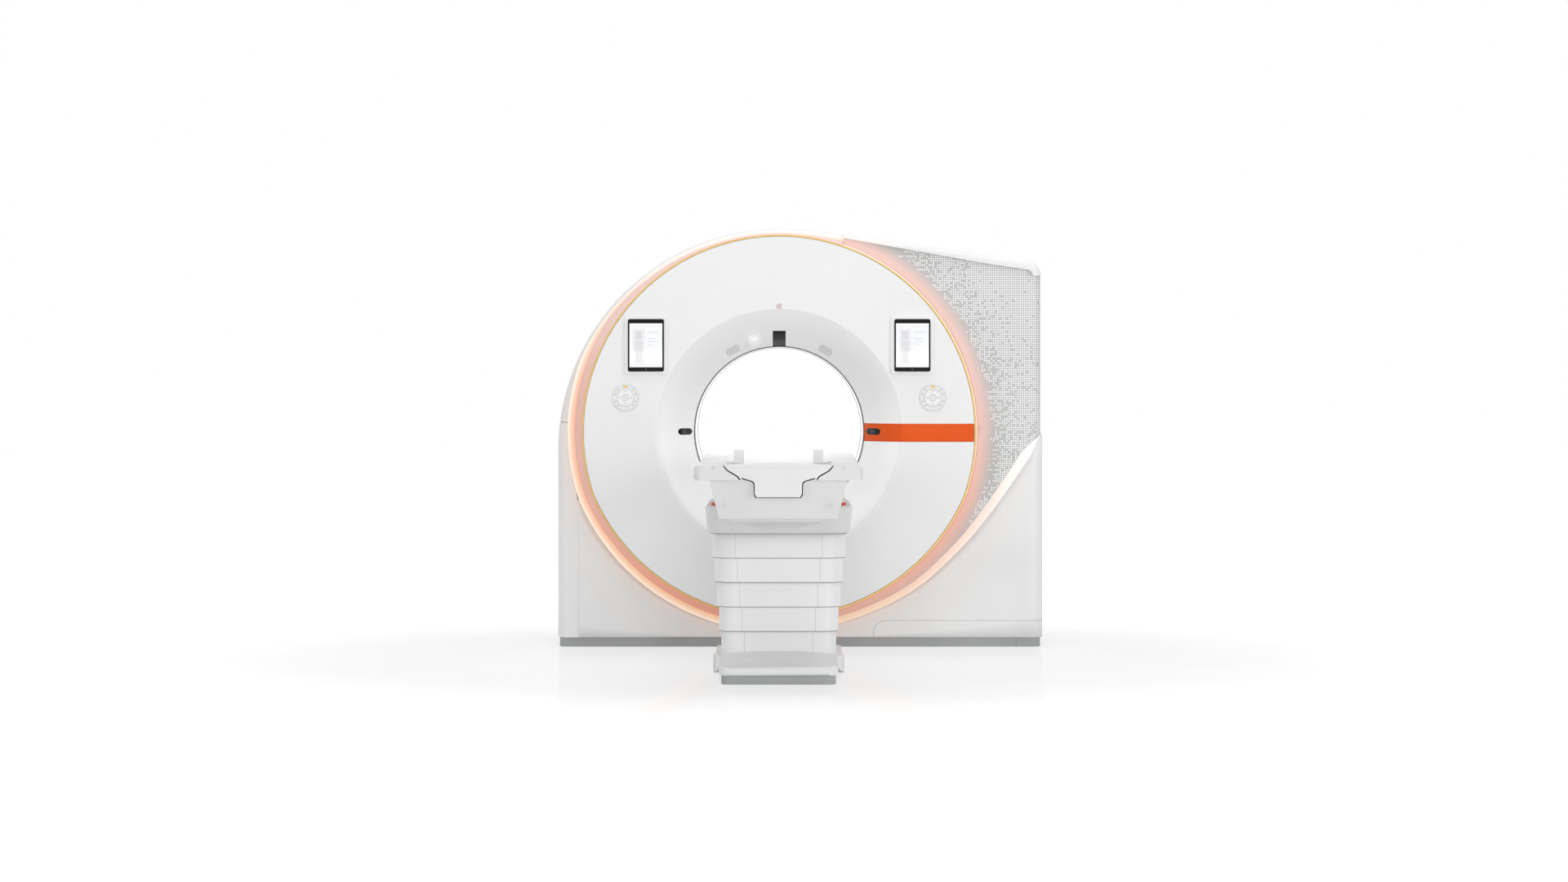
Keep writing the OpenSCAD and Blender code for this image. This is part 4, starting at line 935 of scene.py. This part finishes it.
for s, side in sides:
    pad_on_funnel(f"speaker_{side}", speaker_oval(s, 38.5, 23.5), grille_paint, -0.2, "grille_white",
        "speaker_grilles", rounds=5)
    spots = [(i * 8.4 + (k % 2) * 4.2, k * 7.2) for i in range(-5, 6) for k in range(-3, 4)]
    parts = [(on_funnel(speaker_oval(s, 2.3, 2.3, 8, u, v), 0.25), [tuple(range(8))])
        for u, v in spots if (u / 37) ** 2 + (v / 22) ** 2 < 0.95]
    add_piece(f"speaker_holes_{side}", *merged(parts), hole_paint, "grille_white")
red_paint = sprayed("status_red", (168, 30, 34), (154, 26, 30), 0.35)
status_z = 1648.5
turned_piece("status_ring_red", 0, status_z,
    [(12, disc_y), (12, disc_y - 1.0), (11.6, disc_y - 1.4), (10.4, disc_y - 1.4), (10, disc_y - 1.0),
    (10, disc_y)], red_paint, "status_red", 48, node="status_ring")
cap_piece("status_button", (0, disc_y, status_z), (0, -1, 0), 3.2, 1.2, red_paint, "status_red")
print("funnel fittings made:", len(parts), "holes a speaker")

# %% [markdown]
# ## Tablets
# Two tablets clip to the front in white trays: black slabs with a screen that shows a plain layout of
# my own, a header line, two grey columns and some bars. An image could do that; a material that draws
# boxes from object coordinates needs no file and stays sharp.

# %% Screen drawing and slabs
screen_boxes = ((-70, 70, 88, 92, (226, 226, 228)), (-64, -6, -92, 80, (230, 230, 231)),
    (-50, -20, 28, 68, (212, 212, 214)), (-54, -16, -30, 22, (216, 216, 218)),
    (-50, -20, -82, -36, (214, 214, 216)), (8, 60, 60, 66, (222, 222, 224)), (8, 46, 30, 33, (206, 206, 208)),
    (8, 54, 16, 19, (212, 212, 214)), (8, 38, 2, 5, (212, 212, 214)), (8, 60, -70, -50, (232, 232, 233)))


def screen_paint(name, cx, cz):
    paint = Paint(name)
    x, y, z = paint.place()
    x, z = x - cx / 1000, z - cz / 1000
    page = paint.cloud(8).mix((238, 239, 241), (244, 245, 246))
    for x0, x1, z0, z1, colour in screen_boxes:
        inside = (x > x0 / 1000) * (x < x1 / 1000) * (z > z0 / 1000) * (z < z1 / 1000)
        page = inside.mix(page, colour)
    paint.set(Base_Color=page, Roughness=paint.cloud(25, 0.10, 0.16), Emission_Color=(240, 241, 243),
        Emission_Strength=0.12)
    return paint


def slab(name, cx, cz, w, h, r, y0, y1, edge, paint, slot, node=None):
    """A plate from y1 (back) to y0 (front) with a rounded front edge."""
    steps = [(0, y1), (0, y0 + edge)]
    steps += [(edge * (1 - cos(a)), y0 + edge * (1 - sin(a))) for a in (0.4, 0.8, 1.2, 1.571)]
    rings = []
    for inset, y in steps:
        rr = max(r - inset, 0.6)
        dx, dz = w / 2 - inset - rr, h / 2 - inset - rr
        outline = [p for a0, sx, sz in ((0, 1, 1), (90, -1, 1), (180, -1, -1), (270, 1, -1))
            for p in arc_pts(cx + sx * dx, cz + sz * dz, rr, a0, a0 + 90, 8)]
        rings.append([(x, y, z) for x, z in outline])
    return add_piece(name, *loft(rings, caps=True), paint, slot, node=node, sharp=40)


# %% Tablets in their trays
tablet_black = sprayed("tablet_black", (12, 12, 13), (7, 7, 8), 0.4, peel=0.01, level=0.15)
holder_paint = sprayed("holder_paint", 246, 240, 0.35)
tablet_x, tablet_z, tablet_w, tablet_h, tablet_t, holder_border, holder_t = 641, 1460, 173, 252, 8, 14, 16
tray_y = disc_y - holder_t
glass_y = tray_y - tablet_t
for s, side in sides:
    cx = s * tablet_x
    slab(f"holder_tray_{side}", cx, tablet_z - 1.5, tablet_w + 2 * holder_border + 4,
        tablet_h + 2 * holder_border - 3, 12, tray_y, disc_y, 4, holder_paint, "holder_white", f"holder_{side}")
    slab(f"tablet_body_{side}", cx, tablet_z, tablet_w, tablet_h, 9, glass_y, tray_y + 0.5, 2, tablet_black,
        "tablet_black", f"tablet_{side}")
    slab(f"tablet_screen_{side}", cx, tablet_z, tablet_w - 15, tablet_h - 41, 1.5, glass_y - 0.25,
        glass_y + 0.5, 0.2, screen_paint(f"screen_{side}", cx, tablet_z), "tablet_black")
    cap_piece(f"tablet_button_{side}", (cx, glass_y - 0.05, tablet_z - tablet_h / 2 + 10), (0, -1, 0), 5, 0.4,
        lens_dark, "tablet_black")
print("tablets made")

# %% [markdown]
# ## Control pads
# A pad is a thin round plate with a ring-shaped key that moves the table, a centre key, small grey
# marks and an amber lamp field. Turned profiles are the quickest way to round parts. The marks could be
# paint, but thin flat faces ride with their key.

# %% Pads and keys
pad_paint = sprayed("pad_paint", 240, 233, 0.4)
key_paint = sprayed("key_paint", 247, 240, 0.32)
ink_paint = sprayed("ink_grey", (150, 152, 154), (136, 138, 140), 0.5)
amber_paint = sprayed("amber_field", (244, 206, 60), (236, 196, 50), 0.4)
pad_x, pad_z, pad_t, key_h = 740, 1208, 5, 2.5
pad_y = disc_y - pad_t
key_y = pad_y - key_h
print_y, key_print_y = pad_y - 0.15, key_y - 0.12


def print_ring(name, cx, r, w, y, body="gantry"):
    a, b = r - w / 2, r + w / 2
    turned_piece(name, cx, pad_z, [(a, y + 0.3), (a, y), (b, y), (b, y + 0.3)], ink_paint, "pad_white",
        body=body)


def around(cx, y, points):
    """Points given as (radius, sideways, angle) about a pad's centre."""
    return [(cx + r * cos(a) - w * sin(a), y, pad_z + r * sin(a) + w * cos(a)) for r, w, a in points]


for s, side in sides:
    cx, move_key, start_key = s * pad_x, f"move_key_{side}", f"start_key_{side}"
    turned_piece(f"pad_plate_{side}", cx, pad_z,
        [(22, disc_y - 2), (43.5, disc_y - 2), (43.5, pad_y + 0.5), (44, pad_y), (65.5, pad_y),
        (67, pad_y + 1.5), (67, disc_y)], pad_paint, "pad_white", node=f"pad_{side}")
    print_ring(f"pad_outline_{side}", cx, 62, 1.0, print_y)
    turned_piece(f"ring_key_{side}", cx, pad_z,
        [(17, disc_y - 4), (17, key_y + 0.8), (17.8, key_y), (41.5, key_y), (43, key_y + 1.5),
        (43, disc_y - 4)], key_paint, "key_white", body=move_key, node=move_key)
    print_ring(f"ring_key_line_{side}", cx, 39.5, 0.8, key_print_y, move_key)
    turned_piece(f"centre_key_{side}", cx, pad_z,
        [(21.5, disc_y + 2), (21.5, disc_y - 2), (16, disc_y - 2), (16, key_y + 0.8), (15.2, key_y),
        (3, key_y + 0.4), (0.01, key_y + 0.4)], key_paint, "key_white", body=start_key, node=start_key)
    print_ring(f"centre_line_{side}", cx, 12.5, 0.8, key_print_y, start_key)
    turned_piece(f"centre_dot_{side}", cx, pad_z, [(2.6, key_y + 0.3), (2.6, key_print_y), (0.01, key_print_y)],
        ink_paint, "key_white", body=start_key)
    parts = [(around(cx, key_print_y, ((33.5, 0, a), (27.5, 3.6, a), (27.5, -3.6, a))), [(0, 1, 2)])
        for a in circle(4)]
    add_piece(f"arrow_marks_{side}", *merged(parts), ink_paint, "key_white", move_key)
    parts = [(around(cx, print_y, ((49.5, 0, a - 0.045), (54.5, 0, a - 0.045), (54.5, 0, a + 0.045),
        (49.5, 0, a + 0.045))), [(0, 1, 2, 3)]) for a in (0.35, 0.8, 2.35, 2.8, 3.5, 3.95, 5.5, 5.95)]
    add_piece(f"pad_marks_{side}", *merged(parts), ink_paint, "pad_white")
    slab(f"amber_field_{side}", cx, pad_z + 53, 22, 8, 3.5, pad_y - 0.5, pad_y + 0.5, 0.3, amber_paint,
        "pad_white")
print("control pads made, keys stand", key_h, "mm out of them")

# %% [markdown]
# ## The bore
# Behind the funnel come a dark window ring for the rays, a white liner and a grey end ring. They are
# turned parts already, so the frame's meshes only get softer edges and finishes. A thin gasket, lofted
# round the bore, closes the joint at the rim.

# %% Bore
softened("bore_liner", bore_glow_paint, 0.8, angle=50)
gasket_paint = sprayed("gasket_grey", (112, 112, 114), (98, 98, 100), 0.6)
gasket = [(0.2, -0.5), (1.4, -4.4), (3.4, -10.6), (4.2, -8), (1.2, 2)]
rings = [round_ring(bore_r + r, rim_y + y) for r, y in gasket]
add_piece("bore_gasket", *loft(rings, looped=True), gasket_paint, "bore_white")
softened("scan_window", window_paint, 0.8, angle=50)
softened("rear_ring", rear_ring_paint, 1.5, angle=50)
print("bore lined")

# %% [markdown]
# ## Patient table
# The tray slides in a deep trough with a broad rounded rim; the pedestal's five shells nest. Fine
# joints could be cut, but they are under two millimetres wide, so paints draw them: a slot along the
# trough's flanks, a dark lip under collar and shells, and two upright joints on each shell. Those shift
# inward by the step between shells, so the paint works out the shell's number from the height.

# %% Paints with drawn lines
collar_z0, seg_show, seg_hw, seg_step, joint_in = 0.615, 0.109, 0.256, 0.010, 0.053


def drawn(mask_of, ink=(120, 120, 121)):
    """Lays ink where the mask, a formula of x, y and z, is 1."""
    return lambda paint, colour: mask_of(*paint.place()).mix(colour, ink)


def flank_slot(x, y, z):
    return (abs(z - 0.838) < 0.0016) * (abs(x) > 0.25) * (y > -3.06) * (y < -0.72)


def shell_lines(x, y, z):
    number = ((z - collar_z0) / -seg_show).ceil()
    joint = (abs(abs(x) + number * seg_step - (seg_hw - joint_in)) < 0.0010) * (y < -1.5) * 0.4
    return joint.larger(z + number * seg_show < collar_z0 + 0.0026)


# Painted shade: frame and collar get the table's white set darker, as they lie in less light than the shells.
frame_paint = sprayed("table_frame_paint", 224, 218, 0.36, over=drawn(flank_slot, (60, 60, 62)))
shell_paint = sprayed("pedestal_seam_paint", 240, 234, 0.34, over=drawn(shell_lines))
collar_shaded_paint = sprayed("collar_shaded_paint", 222, 216, 0.36, over=drawn(lambda x, y, z: z < collar_z0 + 0.0028))
block_paint = sprayed("block_paint", 240, 234, 0.36, over=drawn(lambda x, y, z: z < 0.754, (226, 92, 40)))
bridge_paint = sprayed("bridge_paint", (196, 198, 200), (188, 190, 192), 0.45)
print("paints with lines made")


# %% Table and pedestal
def channel_edge(p):
    """Edges whose bevels would cross each other."""
    return (abs(p.x) < 0.24 and 0.80 < p.z < 0.95) or (p.y < -3.11 and p.z < 0.8885)


softened("table_frame", frame_paint, 3.0, 3, 34, channel_edge)
softened("tabletop", top_paint, 1.0, angle=40)
softened("belly_cover", table_shaded_paint, 1.5)
softened("collar", collar_shaded_paint, 1.5, angle=35)
softened("light_strips", block_paint, 1.5)
for k in range(1, 6):
    softened(f"pedestal_{k}", shell_paint, 0.8)
softened("foot_cover", foot_lit_paint, 2.0, 3, 50)

# %% [markdown]
# The foot's front plate is slightly crowned, so that liquids run off. Sculpting the softened plate
# would also move its edges, so a thin shell with a rounded front is lofted on top of it.

# %% Crown of the foot
plate_y, plate_half, plate_top, crown_h, front_r, crown_len = -2579, 255, 79, 13, 60, 747
rings = []
for y in [plate_y + 13 + crown_len * (i / 40) ** 1.6 for i in range(41)]:
    into = max(front_r - (y - plate_y), 0)
    half = plate_half - 3 - front_r + sqrt(front_r ** 2 - into ** 2)
    crown = crown_h * sin(min((y - plate_y - 12) / 170, 1) * pi / 2)
    rings.append([(half * f, y, plate_top + crown * (1 - abs(f) ** 2.5)) for f in spread(-1, 1, 40)]
        + [(half, y, plate_top - 0.8), (-half, y, plate_top - 0.8)])
add_piece("foot_crown", *loft(rings, caps=True), foot_lit_paint, "table_white", body_of_node("foot_cover"))
softened("foot_plinth", plinth_paint, 2.0)
softened("cable_bridge", bridge_paint, 2.0)
foot_y = -3115
for i, (x, z, back, h) in enumerate([(-269, 939, 0, 1.0), (269, 939, 0, 1.0), (-221, 781, 20, 1.6),
        (221, 781, 20, 1.6)]):
    cap_piece(f"table_screw_cap_{i}", (x, foot_y + back + 0.2, z), (0, -1, 0), 8.5, h, screw_paint,
        "table_white", "table_lift")
print("table dressed")

# %% [markdown]
# ## What is inside
# Frame, bearing, drum, tubes and detectors are seen through the bore's joints or when a cover is off.
# They could stay grey, but parts are also looked at one by one, so the frame's own solids get real
# finishes: machined steel, cast aluminium, brass slip rings and grey boxes.

# %% Inner parts
steel_paint = sprayed("frame_steel_paint", (150, 156, 164), (138, 144, 152), 0.45)
machined = sprayed("machined_steel", (176, 178, 180), (160, 162, 165), 0.3, metal=0.9)
aluminium = sprayed("cast_aluminium", (186, 188, 190), (170, 172, 175), 0.42, metal=0.8, grain=300)
brass = sprayed("slip_brass", (196, 150, 84), (182, 136, 72), 0.28, metal=0.95, stretch=(1, 30, 1))
inner_grey = sprayed("inner_grey", (172, 174, 176), (160, 162, 164), 0.5)
brush_paint = sprayed("brush_black", (34, 34, 36), (26, 26, 28), 0.55)
iron_paint = sprayed("base_iron", (84, 86, 88), (74, 76, 78), 0.5, metal=0.4)
for paint, nodes in ((steel_paint, ("base_beams", "gantry_frame")), (brush_paint, ("brush_block",)),
        (machined, ("main_bearing", "column_outer", "column_mid", "column_inner")),
        (inner_grey, ("power_cabinet", "xray_tube_a", "xray_tube_b", "detector_a", "detector_b", "generator")),
        (aluminium, ("rotor_drum",)), (brass, ("slip_ring",)), (iron_paint, ("table_base",))):
    for node in nodes:
        for s in frame["nodes"][node].material_slots:
            s.material = paint.mat
print("inner parts painted")

# %% [markdown]
# ## Room, light and camera
# The machine stands in a white room with a soft shadow and a faint mirror image. Lamps that light a
# floor up to white also burn out the machine. So camera and glossy rays see a floor that glows a little
# and keeps the shadow, and glows fully further away, until it meets the white world. Diffuse rays see a
# plain pale floor, so this adds no light. Large area lamps keep the whites just below clipping.

# %% Floor and world
def seen_directly(nodes):
    """1 for camera, mirror and glass rays."""
    rays = nodes.add("LightPath").socket.node.outputs
    kinds = ("Camera", "Glossy", "Transmission")
    camera, glossy, through = (Wire(nodes, rays[f"Is {kind} Ray"]) for kind in kinds)
    return camera.larger(glossy.larger(through))


def even_grey(v):
    return v, v, v, 1


white = even_grey(1)
scene = bpy.context.scene
scene.world = bpy.data.worlds.new("studio")
scene.world.use_nodes = True
room = Nodes(scene.world.node_tree)
room.tree.nodes.clear()
ambient = room.add("Background", {"Color": (0.93, 0.94, 0.95, 1), "Strength": 0.48})
backdrop = room.add("Background", {"Color": white, "Strength": 1.0})
room.add("OutputWorld", {"Surface": room.add("MixShader", {0: seen_directly(room), 1: ambient, 2: backdrop})})

mesh = bpy.data.meshes.new("studio_floor")
mesh.from_pydata([(-40, -40, 0), (40, -40, 0), (40, 40, 0), (-40, 40, 0)], [], [(0, 1, 2, 3)])
floor = in_scene("studio_floor", mesh)
mat = bpy.data.materials.new("floor_white")
mat.use_nodes = True
mesh.materials.append(mat)
ground = Nodes(mat.node_tree)
ground.tree.nodes.clear()
plain = ground.add("BsdfDiffuse", {"Color": even_grey(0.93)})
shade = ground.add("BsdfDiffuse", {"Color": ground.cloud(2.0).mix(even_grey(0.33), even_grey(0.35))})
away = ground.add("VectorMath", {0: ground.coords(), 1: (0, -1.0, 0)}, "Value", operation="DISTANCE")
glow = ground.add("Emission", {"Color": white, "Strength": away.ramp(1.6, 4.6, 0.67, 1.0, True)})
mirror = ground.add("BsdfGlossy", {"Roughness": ground.cloud(4.0, 0.05, 0.08)})
shine = ground.add("MixShader", {0: 0.14, 1: ground.add("AddShader", {0: shade, 1: glow}), 2: mirror})
surface = ground.add("MixShader", {0: seen_directly(ground), 1: plain, 2: shine})
ground.add("OutputMaterial", {"Surface": surface})
print("floor and world made")


# %% Lamps and camera
def lamp(name, place, target, size, power):
    data = bpy.data.lights.new(name, "AREA")
    data.shape, data.size, data.size_y = "RECTANGLE", *size
    data.energy = power
    obj = in_scene(name, data)
    obj.location = place
    obj.rotation_euler = (Vector(target) - Vector(place)).to_track_quat("-Z", "Y").to_euler()


lamp("top_softbox", (0, -1.5, 6.5), (0, -1.0, 0.8), (7, 7), 185)
lamp("front_left", (-10, -12, 4.5), (0, -1.0, 0.9), (6, 6), 250)
lamp("front_right", (10, -12, 3.4), (0, -1.0, 0.8), (6, 6), 425)
lamp("low_front", (0.5, -12, 0.6), (0, -1.0, 0.4), (8, 1), 112)
lamp("back_soft", (0, 6.5, 3.5), (0, 0, 1.0), (6, 3), 90)
cam = bpy.data.cameras.new("camera")
cam.sensor_width, cam.lens, cam.shift_y = 36, 88.7, -0.0459
camera = in_scene("camera", cam)
camera.location = (0.0233, -19.035, 1.346)
camera.rotation_euler = (pi / 2, 0, 0)
scene.camera = camera
scene.view_settings.view_transform = "Standard"
